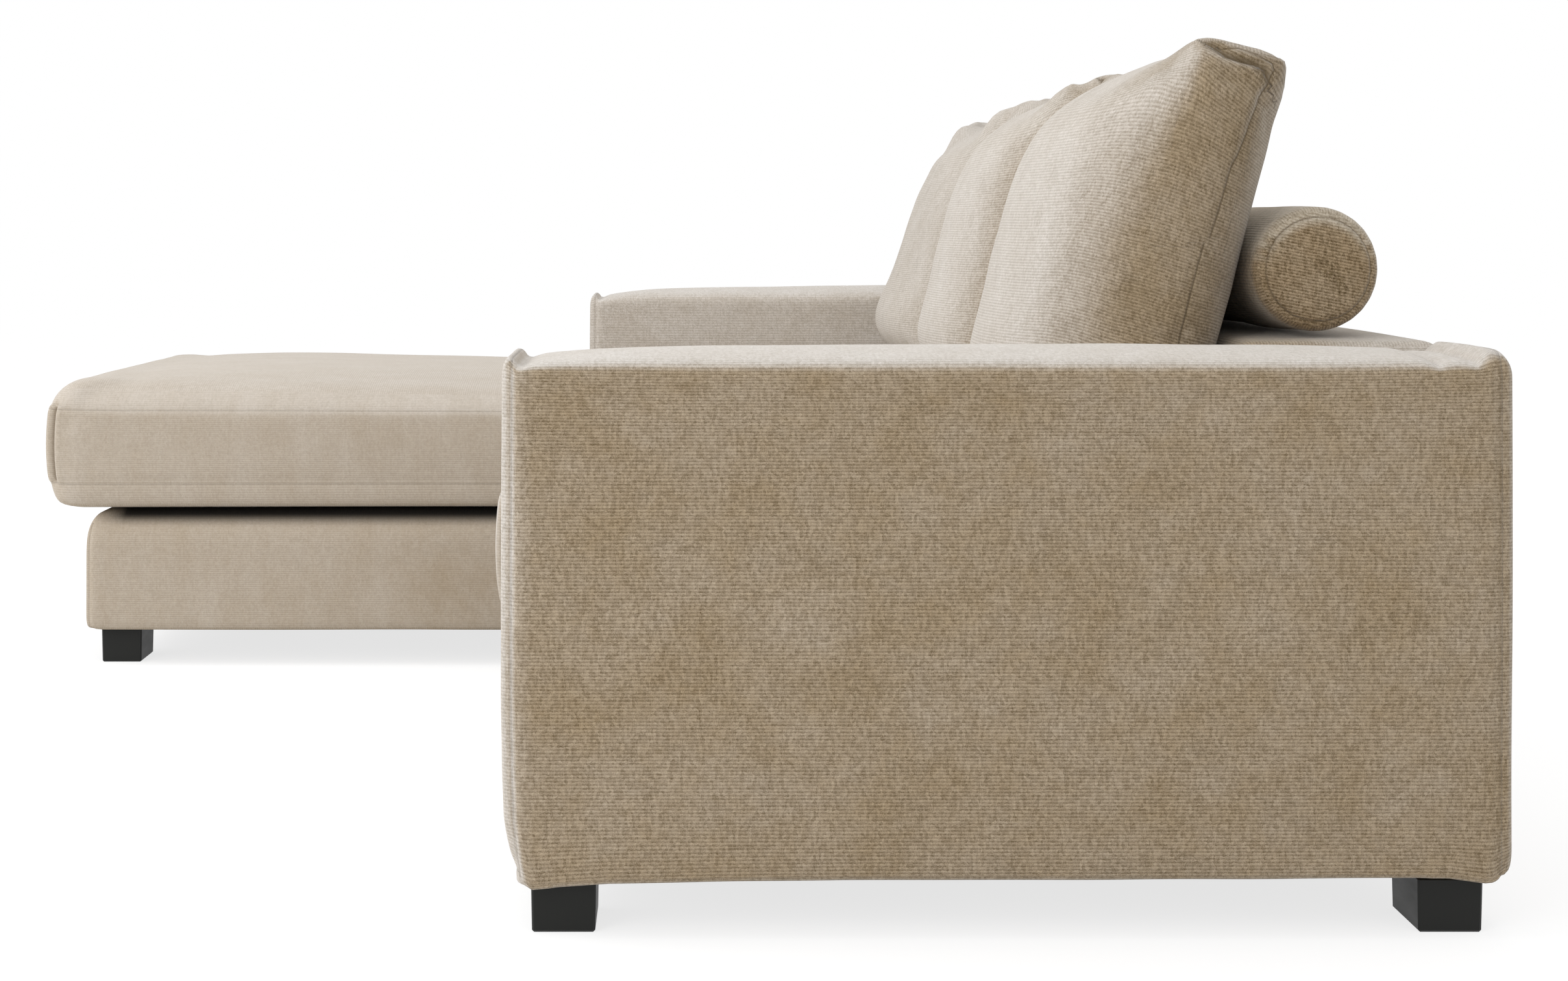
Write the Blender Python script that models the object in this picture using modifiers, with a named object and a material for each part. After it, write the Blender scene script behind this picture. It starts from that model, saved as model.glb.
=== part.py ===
# Lounge sofa with a chaise longue at its left end, in metres, +Z up, front towards -Y.
# The origin is on the floor, under the middle of the sofa's box.
# Two modules, sofa and chaise, stand side by side. Each has an upholstered cover over a timber frame,
# zigzag springs, a deck pad and loose cushions.

import math

import bmesh
import bpy
from mathutils import Matrix, Vector
from mathutils.bvhtree import BVHTree

# Whole sofa
OVERALL_WIDTH = 2.500
ARM_DEPTH = 0.956
CHAISE_REACH = 0.748  # chaise base ahead of the arms' fronts
CHAISE_NOSE = 0.066  # chaise cushion ahead of its base
CHAISE_WIDTH = 0.830
MODULE_GAP = 0.001
TOUCH = 0.0003  # gap kept between pieces that touch
SOFT_TOUCH = 0.0006  # the same where a soft piece rests on another
OVERRUN = 0.020  # how far a cutter runs past the face it opens

# Upholstered covers: foam and fabric
WALL = 0.020
ARM_THICKNESS = 0.200
ARM_TOP = 0.560
ARM_CROWN = 0.012
ARM_ROUND = 0.018
BACK_TOP = 0.560
BACK_DEPTH = 0.216
BACK_INSET = 0.004  # back rail ahead of the arms' backs
BACK_CROWN = 0.004
BACK_ROUND = 0.018
END_ROUND = 0.006  # upright edges that stand against a neighbour
TOP_PAD = 0.030  # foam on top of the arms and backs
BASE_TOP = 0.244
BASE_ROUND = 0.042
BASE_FOOT_ROUND = 0.012
SEAT_INSET = 0.006  # seat base behind the arms' fronts
RIM_THICKNESS = 0.020
RIM_WIDTH = 0.070
ROUND_STEPS = 3
CROWN_SHARES = (-0.45, 0.0, 0.45)  # where crowned faces are cut
LENGTH_SHARES = (-0.8, -0.45, 0.45, 0.8)
CUSHION_SHARES = (-0.62, -0.33, 0.0, 0.33, 0.62)
SIDE_SHARES = (0.0,)

# Timber frames
POST = 0.045
TOP_RAIL = 0.035
SILL = 0.060
RAIL = 0.025
GLUE_BLOCK = 0.085
CENTRE_TOP = 0.196  # top of the middle rail and the glue blocks, below the springs

# Webbing on the back frames
STRAP_WIDTH = 0.070
STRAP_THICKNESS = 0.0020
STRAP_SHARES = (-0.5, 0.5)

# Zigzag springs and their clip strips
WIRE_RADIUS = 0.0020
LOOP_HALF_WIDTH = 0.034
SPRING_BOW = 0.008
LOOPS_SEAT = 10
LOOPS_CHAISE = 12
SPRINGS_SEAT = 5
SPRINGS_CHAISE = 5
BEND_STEPS = 3
STRIP_WALL = 0.0020
WIRE_PLAY = 0.0006
STRIP_LIP = 0.0080
NOTCH_PLAY = 0.0040

# Deck pads, dust cloths
PAD_THICKNESS = 0.024
SHEET_THICKNESS = 0.0012
SHEET_INSET = 0.030

# Feet
FOOT_HEIGHT = 0.0520
FOOT_WIDTH = 0.090
FOOT_LENGTH = 0.062
FOOT_TAPER_SHARE = 0.97
FOOT_ROUND = 0.0020
FOOT_SIDE_INSET = 0.023
FOOT_END_INSET = 0.026
CHAISE_FOOT_SIDE = 0.040
CHAISE_FOOT_FRONT = 0.019
STUD_RADIUS = 0.0040
STUD_LENGTH = 0.032
STUD_SIDES = 12

# Tongue and socket that hold the modules together, under the dust cloths
SOCKET_SIZE = Vector((0.060, 0.060, 0.0100))
TONGUE_WIDTH = 0.040
TONGUE_THICKNESS = 0.0040
TONGUE_PLATE = 0.060
CONNECTOR_INSET = 0.130  # from the base's front and from the back's rear face
CONNECTOR_OFFSET = 0.012  # socket and plate from the modules' joint

# Seat and chaise cushions
SEAT_TOP = 0.455
CUSHION_ROUND = 0.045
SEAT_CROWN = 0.020
SEAT_DRAW = 0.006
NOSE_BULGE = 0.012
SEAT_NOSE = 0.025  # seat cushions ahead of the arms' fronts
CUSHION_GAP = 0.003

# Back cushions
BACK_CUSHION_HEIGHT = 0.417
BACK_CUSHION_DEPTH = 0.285
BACK_CUSHION_ROUND = 0.055
BACK_CUSHION_SIDE = 0.014  # room beside a back cushion's end
BACK_LEAN = 0.215
BACK_BULGE = 0.030
BACK_END_SHARE = 0.85  # of the half thickness, how far its front turns back at the ends
BACK_TOP_FALL = 0.048  # how far its front turns back at the top
BACK_SIDE_DRAW = 0.014
BACK_CREST = 0.040  # how far the top rises to its crest
BACK_CREST_SHARE = -0.10  # where the crest lies, of the half thickness
BACK_CUSHION_CORE = 0.178  # thickness before it leans and bulges

# Bolsters
BOLSTER_RADIUS = 0.0672
BOLSTER_END_ROUND = 0.020
BOLSTER_SWELL = 0.002
BOLSTER_END_ROOM = 0.026  # shorter than the back cushion at each end
BOLSTER_FROM_BACK = 0.1255  # axis ahead of the arms' backs
BOLSTER_SIDES = 24
BOLSTER_ARC_STEPS = 3

# Places worked out from the sizes above
X_RIGHT = OVERALL_WIDTH / 2
X_ARM = X_RIGHT - ARM_THICKNESS
X_SPLIT = CHAISE_WIDTH - X_ARM
TOTAL_DEPTH = ARM_DEPTH + CHAISE_REACH + CHAISE_NOSE
Y_BACK = TOTAL_DEPTH / 2
Y_ARM_FRONT = Y_BACK - ARM_DEPTH
Y_CHAISE_FRONT = Y_ARM_FRONT - CHAISE_REACH
Y_SEAT_FRONT = Y_ARM_FRONT + SEAT_INSET
Y_BACK_REAR = Y_BACK - BACK_INSET
Y_BACK_FRONT = Y_BACK_REAR - BACK_DEPTH
Z_SHEET = FOOT_HEIGHT + TOUCH
Z_UNDER = Z_SHEET + SHEET_THICKNESS + TOUCH
X_SOFA = (X_SPLIT + MODULE_GAP / 2, X_ARM - TOUCH)
X_CHAISE = (-X_ARM + TOUCH, X_SPLIT - MODULE_GAP / 2)

# Colours in linear light, roughness, metallic
FINISHES = {
    "cover_fabric": ((0.392, 0.323, 0.242), 0.92, 0.0),
    "cushion_fabric": ((0.440, 0.371, 0.287), 0.92, 0.0),
    "timber": ((0.520, 0.361, 0.204), 0.65, 0.0),
    "stained_wood": ((0.024, 0.027, 0.022), 0.45, 0.0),
    "spring_steel": ((0.330, 0.330, 0.340), 0.35, 1.0),
    "zinc_steel": ((0.480, 0.490, 0.500), 0.40, 1.0),
    "felt": ((0.270, 0.266, 0.258), 0.95, 0.0),
    "dust_cloth": ((0.016, 0.016, 0.017), 0.90, 0.0),
    "webbing": ((0.090, 0.085, 0.080), 0.85, 0.0),
}

for old in list(bpy.data.objects):
    bpy.data.objects.remove(old, do_unlink=True)

sofa = bpy.data.collections.new("lounge_sofa")
cutters = bpy.data.collections.new("cutters")
bpy.context.scene.collection.children.link(sofa)
bpy.context.scene.collection.children.link(cutters)


def make_material(name):
    colour, roughness, metallic = FINISHES[name]
    material = bpy.data.materials.new(name)
    material.use_nodes = True
    shader = material.node_tree.nodes["Principled BSDF"]
    shader.inputs["Base Color"].default_value = (*colour, 1.0)
    shader.inputs["Roughness"].default_value = roughness
    shader.inputs["Metallic"].default_value = metallic
    return material


materials = {name: make_material(name) for name in FINISHES}


def add_piece(name, data, location, finish):
    piece = bpy.data.objects.new(name, data)
    piece.location = location
    data.materials.append(materials[finish])
    sofa.objects.link(piece)
    return piece


def mesh_from(bm, name):
    mesh = bpy.data.meshes.new(name)
    bm.to_mesh(mesh)
    bm.free()
    return mesh


def block_bmesh(low, high):
    """A box of the given corners, about its own middle."""
    bm = bmesh.new()
    bmesh.ops.create_cube(bm, size=1.0)
    bmesh.ops.scale(bm, vec=Vector(high) - Vector(low), verts=bm.verts)
    return bm


def middle(low, high):
    return (Vector(low) + Vector(high)) / 2


def add_block(name, low, high, finish):
    return add_piece(name, mesh_from(block_bmesh(low, high), name), middle(low, high), finish)


def add_cutter(name, data, location):
    cutter = bpy.data.objects.new(name, data)
    cutter.location = location
    cutter.hide_render = True
    cutter.display_type = "WIRE"
    cutters.objects.link(cutter)
    return cutter


def block_cutter(name, low, high, corner=0.0):
    """A box to cut with. Its edges along the longest way through are cut off where corner is given."""
    bm = block_bmesh(low, high)
    if corner:
        upright = [e for e in bm.edges if abs(e.verts[0].co.z - e.verts[1].co.z) > corner]
        bmesh.ops.bevel(bm, geom=upright, offset=corner, segments=1, affect="EDGES")
    return add_cutter(name, mesh_from(bm, name), middle(low, high))


def combine(piece, other, operation="DIFFERENCE"):
    modifier = piece.modifiers.new(other.name, "BOOLEAN")
    modifier.operation = operation
    modifier.object = other
    modifier.solver = "EXACT"


def cut_block(piece, low, high, corner=0.0):
    name = f"{piece.name}_cut_{len(piece.modifiers)}"
    combine(piece, block_cutter(name, low, high, corner))


def smooth(piece):
    piece.data.shade_smooth()
    piece.data.set_sharp_from_angle(angle=math.radians(40))


def cut_grid(bm, half, shares_by_axis):
    """Cuts a box about its middle into a grid, at shares of its half size along each axis."""
    for axis, shares in enumerate(shares_by_axis):
        normal = Vector((0, 0, 0))
        normal[axis] = 1
        for share in shares:
            geometry = bm.verts[:] + bm.edges[:] + bm.faces[:]
            bmesh.ops.bisect_plane(bm, geom=geometry, plane_co=normal * share * half[axis], plane_no=normal)


# Covers


def add_cover(name, low, high, crown, top_round, upright_round, under_round):
    """A padded box with a crowned top and rounded edges. The crown is part of its height."""
    low, high = Vector(low), Vector(high)
    half = (high - low) / 2
    bm = block_bmesh(low, high)
    cut_grid(bm, half, (CROWN_SHARES, LENGTH_SHARES, ()))
    for vert in bm.verts:
        if vert.co.z > 0:
            rise = (1 - (vert.co.x / half.x) ** 2) * (1 - (vert.co.y / half.y) ** 4)
            vert.co.z -= crown * (1 - rise)
    widest = max(top_round, upright_round, under_round)
    weights = bm.edges.layers.float.new("bevel_weight_edge")
    bm.normal_update()
    for edge in bm.edges:
        if edge.calc_face_angle() < math.radians(45):
            continue
        heights = sorted(vert.co.z for vert in edge.verts)
        if heights[0] > 0:
            edge[weights] = top_round / widest
        elif heights[1] < 0:
            edge[weights] = under_round / widest
        else:
            edge[weights] = upright_round / widest
    cover = add_piece(name, mesh_from(bm, name), middle(low, high), "cover_fabric")
    bevel = cover.modifiers.new("rounded_edges", "BEVEL")
    bevel.limit_method = "WEIGHT"
    bevel.width = widest
    bevel.segments = ROUND_STEPS
    smooth(cover)
    return cover


def hollow(cover, low, high):
    """Opens a cover from below: low and high are the room for its frame."""
    cut_block(cover, (low[0], low[1], low[2] - OVERRUN), high)


def shrink(low, high, amount):
    """The same box, smaller by the amount on its four sides and its top."""
    return (
        (low[0] + amount, low[1] + amount, low[2]),
        (high[0] - amount, high[1] - amount, high[2] - amount),
    )


def frame_room(low, high):
    """The room inside a cover of an arm or a back."""
    return (
        (low[0] + WALL, low[1] + WALL, low[2]),
        (high[0] - WALL, high[1] - WALL, high[2] - TOP_PAD),
    )


def add_arm(side, low, high):
    cover = add_cover(f"arm_cover_{side}", low, high, ARM_CROWN, ARM_ROUND, ARM_ROUND, ARM_ROUND)
    room = frame_room(low, high)
    hollow(cover, *room)
    frame_low, frame_high = shrink(*room, TOUCH)
    frame = add_block(f"arm_frame_{side}", frame_low, frame_high, "timber")
    half_post = POST / 2
    y_middle = (frame_low[1] + frame_high[1]) / 2
    for start, end in ((frame_low[1] + POST, y_middle - half_post), (y_middle + half_post, frame_high[1] - POST)):
        window_low = (frame_low[0] - OVERRUN, start, frame_low[2] + SILL)
        window_high = (frame_high[0] + OVERRUN, end, frame_high[2] - TOP_RAIL)
        cut_block(frame, window_low, window_high)
    return frame


def add_back(module, span):
    low = (span[0], Y_BACK_FRONT, Z_UNDER)
    high = (span[1], Y_BACK_REAR, BACK_TOP)
    cover = add_cover(f"back_cover_{module}", low, high, BACK_CROWN, BACK_ROUND, END_ROUND, BACK_ROUND)
    room_low, room_high = frame_room(low, high)
    hollow(cover, room_low, room_high)
    frame_low, frame_high = shrink(room_low, room_high, TOUCH)
    strap_front = frame_low[1]
    frame_front = strap_front + STRAP_THICKNESS + TOUCH
    frame_low = (frame_low[0], frame_front, frame_low[2])
    frame = add_block(f"back_frame_{module}", frame_low, frame_high, "timber")
    window_low = (frame_low[0] + POST, frame_low[1] - OVERRUN, frame_low[2] + SILL)
    window_high = (frame_high[0] - POST, frame_high[1] + OVERRUN, frame_high[2] - TOP_RAIL)
    cut_block(frame, window_low, window_high)
    x_middle = (frame_low[0] + frame_high[0]) / 2
    half_span = (frame_high[0] - frame_low[0]) / 2
    for number, share in enumerate(STRAP_SHARES, start=1):
        x_strap = x_middle + share * half_span
        add_block(
            f"back_strap_{module}_{number}",
            (x_strap - STRAP_WIDTH / 2, strap_front, frame_low[2]),
            (x_strap + STRAP_WIDTH / 2, strap_front + STRAP_THICKNESS, frame_high[2]),
            "webbing",
        )
    return cover, frame


def add_base(module, span, front, split_axis):
    """Cover, frame and deck pad of a seat. The frame's middle rail crosses the axis that is named."""
    low = Vector((span[0], front, Z_UNDER))
    high = Vector((span[1], Y_BACK_FRONT - TOUCH, BASE_TOP))
    cover = add_cover(f"{module}_base_cover", low, high, 0.0, BASE_ROUND, ARM_ROUND, BASE_FOOT_ROUND)
    room_low = low + Vector((WALL, WALL, 0))
    room_high = high - Vector((WALL, WALL, RIM_THICKNESS))
    hollow(cover, room_low, room_high)
    rim = Vector((RIM_WIDTH, RIM_WIDTH, 0))
    pad_low = low + rim
    pad_high = high - rim
    pad_low.z = room_high.z - OVERRUN
    cut_block(cover, pad_low, pad_high + Vector((0, 0, OVERRUN)))

    frame_low = room_low + Vector((TOUCH, TOUCH, 0))
    frame_high = room_high - Vector((TOUCH, TOUCH, TOUCH))
    frame = add_block(f"{module}_frame", frame_low, frame_high, "timber")
    inner_low = frame_low + Vector((RAIL, RAIL, 0))
    inner_high = frame_high - Vector((RAIL, RAIL, 0))
    half_rail = Vector((0, 0, 0))
    half_rail[split_axis] = RAIL / 2
    centre = (inner_low + inner_high) / 2
    first_high = inner_high.copy()
    first_high[split_axis] = centre[split_axis] - RAIL / 2
    second_low = inner_low.copy()
    second_low[split_axis] = centre[split_axis] + RAIL / 2
    through = Vector((0, 0, OVERRUN))
    cut_block(frame, inner_low - through, first_high + through, GLUE_BLOCK)
    cut_block(frame, second_low - through, inner_high + through, GLUE_BLOCK)
    clear_low = inner_low.copy()
    clear_low.z = CENTRE_TOP
    cut_block(frame, clear_low, inner_high + through)

    side = Vector((TOUCH, TOUCH, 0))
    pad_low.z = BASE_TOP - PAD_THICKNESS
    add_block(f"{module}_deck_pad", pad_low + side, pad_high - side, "felt")
    return frame, inner_low, inner_high


# Springs


def spring_levels():
    """Heights of a spring's ends, of the clip strip's floor and of its lip."""
    z_crest = BASE_TOP - PAD_THICKNESS - TOUCH - WIRE_RADIUS
    z_end = z_crest - SPRING_BOW
    z_floor = z_end - WIRE_RADIUS - TOUCH
    return z_end, z_floor, z_floor + STRIP_LIP


def bar_offset():
    """From a rail's inner face to the middle of the spring's end bar, which lies in the strip's groove."""
    return TOUCH + STRIP_WALL + WIRE_PLAY + WIRE_RADIUS


def spring_path(start, end, loops, z_end):
    """Points (across, along, up) of a zigzag: straight bars across, joined by half round bends."""
    pitch = (end - start) / loops
    bend = pitch / 2
    straight = LOOP_HALF_WIDTH - bend
    points = [(-LOOP_HALF_WIDTH, start)]
    for loop in range(loops):
        side = 1 if loop % 2 == 0 else -1
        y_centre = start + (loop + 0.5) * pitch
        for step in range(BEND_STEPS + 1):
            angle = math.pi * step / BEND_STEPS
            points.append((side * (straight + bend * math.sin(angle)), y_centre - bend * math.cos(angle)))
    last_side = 1 if loops % 2 == 0 else -1
    points.append((last_side * -LOOP_HALF_WIDTH, end))
    reach = end - start
    return [(a, b, z_end + SPRING_BOW * math.sin(math.pi * (b - start) / reach)) for a, b in points]


def add_springs(module, inner_low, inner_high, run, count, loops):
    """Springs along the axis run, in clip strips on the two rails that they reach."""
    across = 1 - run
    z_end, z_floor, z_lip = spring_levels()
    start = inner_low[run] + bar_offset()
    end = inner_high[run] - bar_offset()
    spacing = (inner_high[across] - inner_low[across]) / count
    places = [inner_low[across] + spacing * (number + 0.5) for number in range(count)]
    path = spring_path(start, end, loops, z_end)
    for number, place in enumerate(places, start=1):
        curve = bpy.data.curves.new(f"{module}_spring_{number}", "CURVE")
        curve.dimensions = "3D"
        curve.bevel_depth = WIRE_RADIUS
        curve.bevel_resolution = 1
        curve.use_fill_caps = True
        spline = curve.splines.new("POLY")
        spline.points.add(len(path) - 1)
        for point, (a, b, up) in zip(spline.points, path):
            local = (a, b, up) if run == 1 else (b, a, up)
            point.co = (*local, 1.0)
        location = Vector((0, 0, 0))
        location[across] = place
        add_piece(curve.name, curve, location, "spring_steel")
    groove = 2 * (WIRE_PLAY + WIRE_RADIUS)
    width = groove + 2 * STRIP_WALL
    bend = (end - start) / loops / 2
    straight = LOOP_HALF_WIDTH - bend
    lip_from_bar = WIRE_PLAY + WIRE_RADIUS + STRIP_WALL / 2
    crossing = bend * math.sin(math.acos(1 - lip_from_bar / bend))
    half_notch = bend / 3 + NOTCH_PLAY
    for word, rail, way in (("a", inner_low[run] + TOUCH, 1), ("b", inner_high[run] - TOUCH, -1)):
        edges = sorted((rail, rail + way * width))
        low, high = Vector((0, 0, z_floor - STRIP_WALL)), Vector((0, 0, z_lip))
        low[run], high[run] = edges
        low[across] = inner_low[across] + TOUCH
        high[across] = inner_high[across] - TOUCH
        strip = add_block(f"{module}_clip_strip_{word}", low, high, "zinc_steel")
        groove_edges = sorted((rail + way * STRIP_WALL, rail + way * (STRIP_WALL + groove)))
        groove_low, groove_high = low.copy(), high.copy()
        groove_low[run], groove_high[run] = groove_edges
        groove_low[across] -= OVERRUN
        groove_high[across] += OVERRUN
        groove_low.z = z_floor
        groove_high.z += OVERRUN
        cut_block(strip, groove_low, groove_high)
        last_side = 1 if word == "a" or loops % 2 == 1 else -1
        for place in places:
            notch = place + last_side * (straight + crossing)
            notch_low, notch_high = groove_low.copy(), groove_high.copy()
            notch_edges = sorted((rail + way * (STRIP_WALL + groove / 2), rail + way * (width + OVERRUN)))
            notch_low[run], notch_high[run] = notch_edges
            notch_low[across] = notch - half_notch
            notch_high[across] = notch + half_notch
            cut_block(strip, notch_low, notch_high)


# Feet


def stud_mesh(name, radius, length):
    bm = bmesh.new()
    bmesh.ops.create_cone(
        bm, cap_ends=True, segments=STUD_SIDES, radius1=radius, radius2=radius, depth=length
    )
    return mesh_from(bm, name)


def add_foot(name, x, y, holders):
    """A tapered block with a threaded stud up into the frame. Its holders get a hole for the stud."""
    low = Vector((x - FOOT_WIDTH / 2, y - FOOT_LENGTH / 2, 0))
    high = Vector((x + FOOT_WIDTH / 2, y + FOOT_LENGTH / 2, FOOT_HEIGHT))
    bm = block_bmesh(low, high)
    floor_verts = [vert for vert in bm.verts if vert.co.z < 0]
    bmesh.ops.scale(bm, vec=(FOOT_TAPER_SHARE, FOOT_TAPER_SHARE, 1), verts=floor_verts)
    foot = add_piece(name, mesh_from(bm, name), middle(low, high), "stained_wood")
    bevel = foot.modifiers.new("eased_edges", "BEVEL")
    bevel.width = FOOT_ROUND
    bevel.segments = 1
    sunk = FOOT_HEIGHT / 4
    stud_middle = Vector((x, y, FOOT_HEIGHT + (STUD_LENGTH - sunk) / 2))
    stud = add_cutter(f"{name}_stud", stud_mesh(name, STUD_RADIUS, STUD_LENGTH + sunk), stud_middle)
    combine(foot, stud, "UNION")
    hole_middle = Vector((x, y, FOOT_HEIGHT + (STUD_LENGTH + TOUCH - OVERRUN) / 2))
    hole = add_cutter(
        f"{name}_hole", stud_mesh(name, STUD_RADIUS + TOUCH, STUD_LENGTH + TOUCH + OVERRUN), hole_middle
    )
    for holder in holders:
        combine(holder, hole)


# Tongue and socket


def add_connector(place, y):
    """A flat tongue on the sofa module that slides into a socket on the chaise module."""
    z_top = FOOT_HEIGHT
    z_middle = z_top - SOCKET_SIZE.z / 2
    socket_right = X_SPLIT - CONNECTOR_OFFSET
    socket_low = Vector((socket_right - SOCKET_SIZE.x, y - SOCKET_SIZE.y / 2, z_top - SOCKET_SIZE.z))
    socket_high = Vector((socket_right, y + SOCKET_SIZE.y / 2, z_top))
    socket = add_block(f"connector_socket_{place}", socket_low, socket_high, "zinc_steel")
    half_tongue = Vector((0, TONGUE_WIDTH / 2, TONGUE_THICKNESS / 2))
    play = Vector((0, TOUCH, TOUCH))
    centre_low = Vector((socket_low.x - OVERRUN, y, z_middle))
    centre_high = Vector((socket_high.x + OVERRUN, y, z_middle))
    cut_block(socket, centre_low - half_tongue - play, centre_high + half_tongue + play)
    plate_low = Vector((X_SPLIT + CONNECTOR_OFFSET, y - SOCKET_SIZE.y / 2, z_middle - TONGUE_THICKNESS / 2))
    plate_high = Vector((plate_low.x + TONGUE_PLATE, y + SOCKET_SIZE.y / 2, z_top))
    tongue = add_block(f"connector_tongue_{place}", plate_low, plate_high, "zinc_steel")
    bar_low = Vector((socket_low.x, y, z_middle)) - half_tongue
    bar_high = Vector((plate_low.x + TONGUE_PLATE / 2, y, z_middle)) + half_tongue
    bar = add_cutter(f"{tongue.name}_bar", mesh_from(block_bmesh(bar_low, bar_high), "bar"), middle(bar_low, bar_high))
    combine(tongue, bar, "UNION")


# Soft pieces


def edge_shares(half, radius):
    """Cuts along a rounded edge: where the round starts, and a quarter of the way round."""
    start = 1 - radius / half
    quarter = 1 - radius * (1 - math.tan(math.pi / 8)) / half
    return (-quarter, -start, start, quarter)


def rounded_point(share, half, radius):
    """A point of a box's surface, given as shares of its half size, moved onto the rounded box."""
    reach = Vector(h * s for h, s in zip(half, share))
    core = Vector(max(radius - h, min(h - radius, value)) for h, value in zip(half, reach))
    rest = reach - core
    if rest.length == 0:
        return reach
    return core + rest.normalized() * radius


def add_cushion(name, low, high, radius, thickness, shares, form):
    """A rounded box, shaped by a form and then fitted to the box of the given corners."""
    low, high = Vector(low), Vector(high)
    half = (high - low) / 2
    half.y = thickness / 2
    bm = bmesh.new()
    bmesh.ops.create_cube(bm, size=2.0)
    unit = Vector((1, 1, 1))
    cut_grid(bm, unit, [edge_shares(h, radius) + inner for h, inner in zip(half, shares)])
    for vert in bm.verts:
        share = vert.co.copy()
        vert.co = rounded_point(share, half, radius)
        form(vert.co, share, half)
    least = Vector(min(vert.co[axis] for vert in bm.verts) for axis in range(3))
    most = Vector(max(vert.co[axis] for vert in bm.verts) for axis in range(3))
    size = high - low
    for vert in bm.verts:
        vert.co = Vector(
            size[axis] * ((vert.co[axis] - least[axis]) / (most[axis] - least[axis]) - 0.5) for axis in range(3)
        )
    cushion = add_piece(name, mesh_from(bm, name), middle(low, high), "cushion_fabric")
    smooth(cushion)
    return cushion


def seat_form(point, share, half):
    """A crowned top, sides drawn in between their corners and a front that bulges."""
    crown = (1 - share.x**2) * (1 - share.y**4)
    point.z += SEAT_CROWN * crown * (share.z + 1) / 2
    point.x -= SEAT_DRAW * share.x * (1 - share.y**2)
    point.y -= NOSE_BULGE * max(-share.y, 0) * (1 - share.z**2)


def back_form(point, share, half):
    """A leaning pillow. Its front turns back to the ends and the top. Its top corners are drawn up as ears."""
    height = (share.z + 1) / 2
    front = max(-share.y, 0)
    point.y += front * half.y * BACK_END_SHARE * share.x**4
    point.y += front * BACK_TOP_FALL * height**5
    point.y -= front * BACK_BULGE * (1 - share.x**4) * (1 - share.z**2)
    point.x -= BACK_SIDE_DRAW * share.x * (1 - share.z**2) * (1 - share.y**2)
    crest = 1 - ((share.y - BACK_CREST_SHARE) / (1 - BACK_CREST_SHARE)) ** 2
    point.z += BACK_CREST * height**4 * crest * (1 + share.x**4) / 2
    point.y += BACK_LEAN * (point.z + half.z)


def world_surface(piece):
    """A piece's points and surface as they stand, with its modifiers."""
    bpy.context.view_layer.update()
    shape = piece.evaluated_get(bpy.context.evaluated_depsgraph_get())
    mesh = shape.to_mesh()
    points = [piece.matrix_world @ vert.co for vert in mesh.vertices]
    tree = BVHTree.FromPolygons(points, [tuple(face.vertices) for face in mesh.polygons])
    shape.to_mesh_clear()
    return points, tree


def slide_to_touch(piece, support, direction):
    """Moves a piece along a direction until it rests on its support."""
    way = Vector(direction)
    points, tree = world_surface(piece)
    support_points, support_tree = world_surface(support)
    hits = [support_tree.ray_cast(point, way)[3] for point in points]
    hits += [tree.ray_cast(point, -way)[3] for point in support_points]
    travel = min(hit for hit in hits if hit is not None)
    piece.location += way * (travel - SOFT_TOUCH)


def add_seat_cushion(name, span, front):
    """A cushion that lies on its base, from its front to the back rail."""
    low = (span[0], front, BASE_TOP + TOUCH)
    high = (span[1], Y_BACK_FRONT - CUSHION_GAP, SEAT_TOP)
    shares = (CUSHION_SHARES, CUSHION_SHARES, SIDE_SHARES)
    return add_cushion(name, low, high, CUSHION_ROUND, high[1] - low[1], shares, seat_form)


def add_back_cushion(name, span, seat_cushion, back_cover):
    """A cushion that stands on a seat cushion and leans on the back rail."""
    x_low, x_high = span[0] + BACK_CUSHION_SIDE, span[1] - BACK_CUSHION_SIDE
    y_high = Y_BACK_FRONT - CUSHION_GAP
    low = (x_low, y_high - BACK_CUSHION_DEPTH, SEAT_TOP + CUSHION_GAP)
    high = (x_high, y_high, SEAT_TOP + CUSHION_GAP + BACK_CUSHION_HEIGHT)
    shares = (CUSHION_SHARES, SIDE_SHARES, CUSHION_SHARES)
    cushion = add_cushion(name, low, high, BACK_CUSHION_ROUND, BACK_CUSHION_CORE, shares, back_form)
    slide_to_touch(cushion, seat_cushion, (0, 0, -1))
    slide_to_touch(cushion, back_cover, (0, 1, 0))
    return cushion


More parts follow.
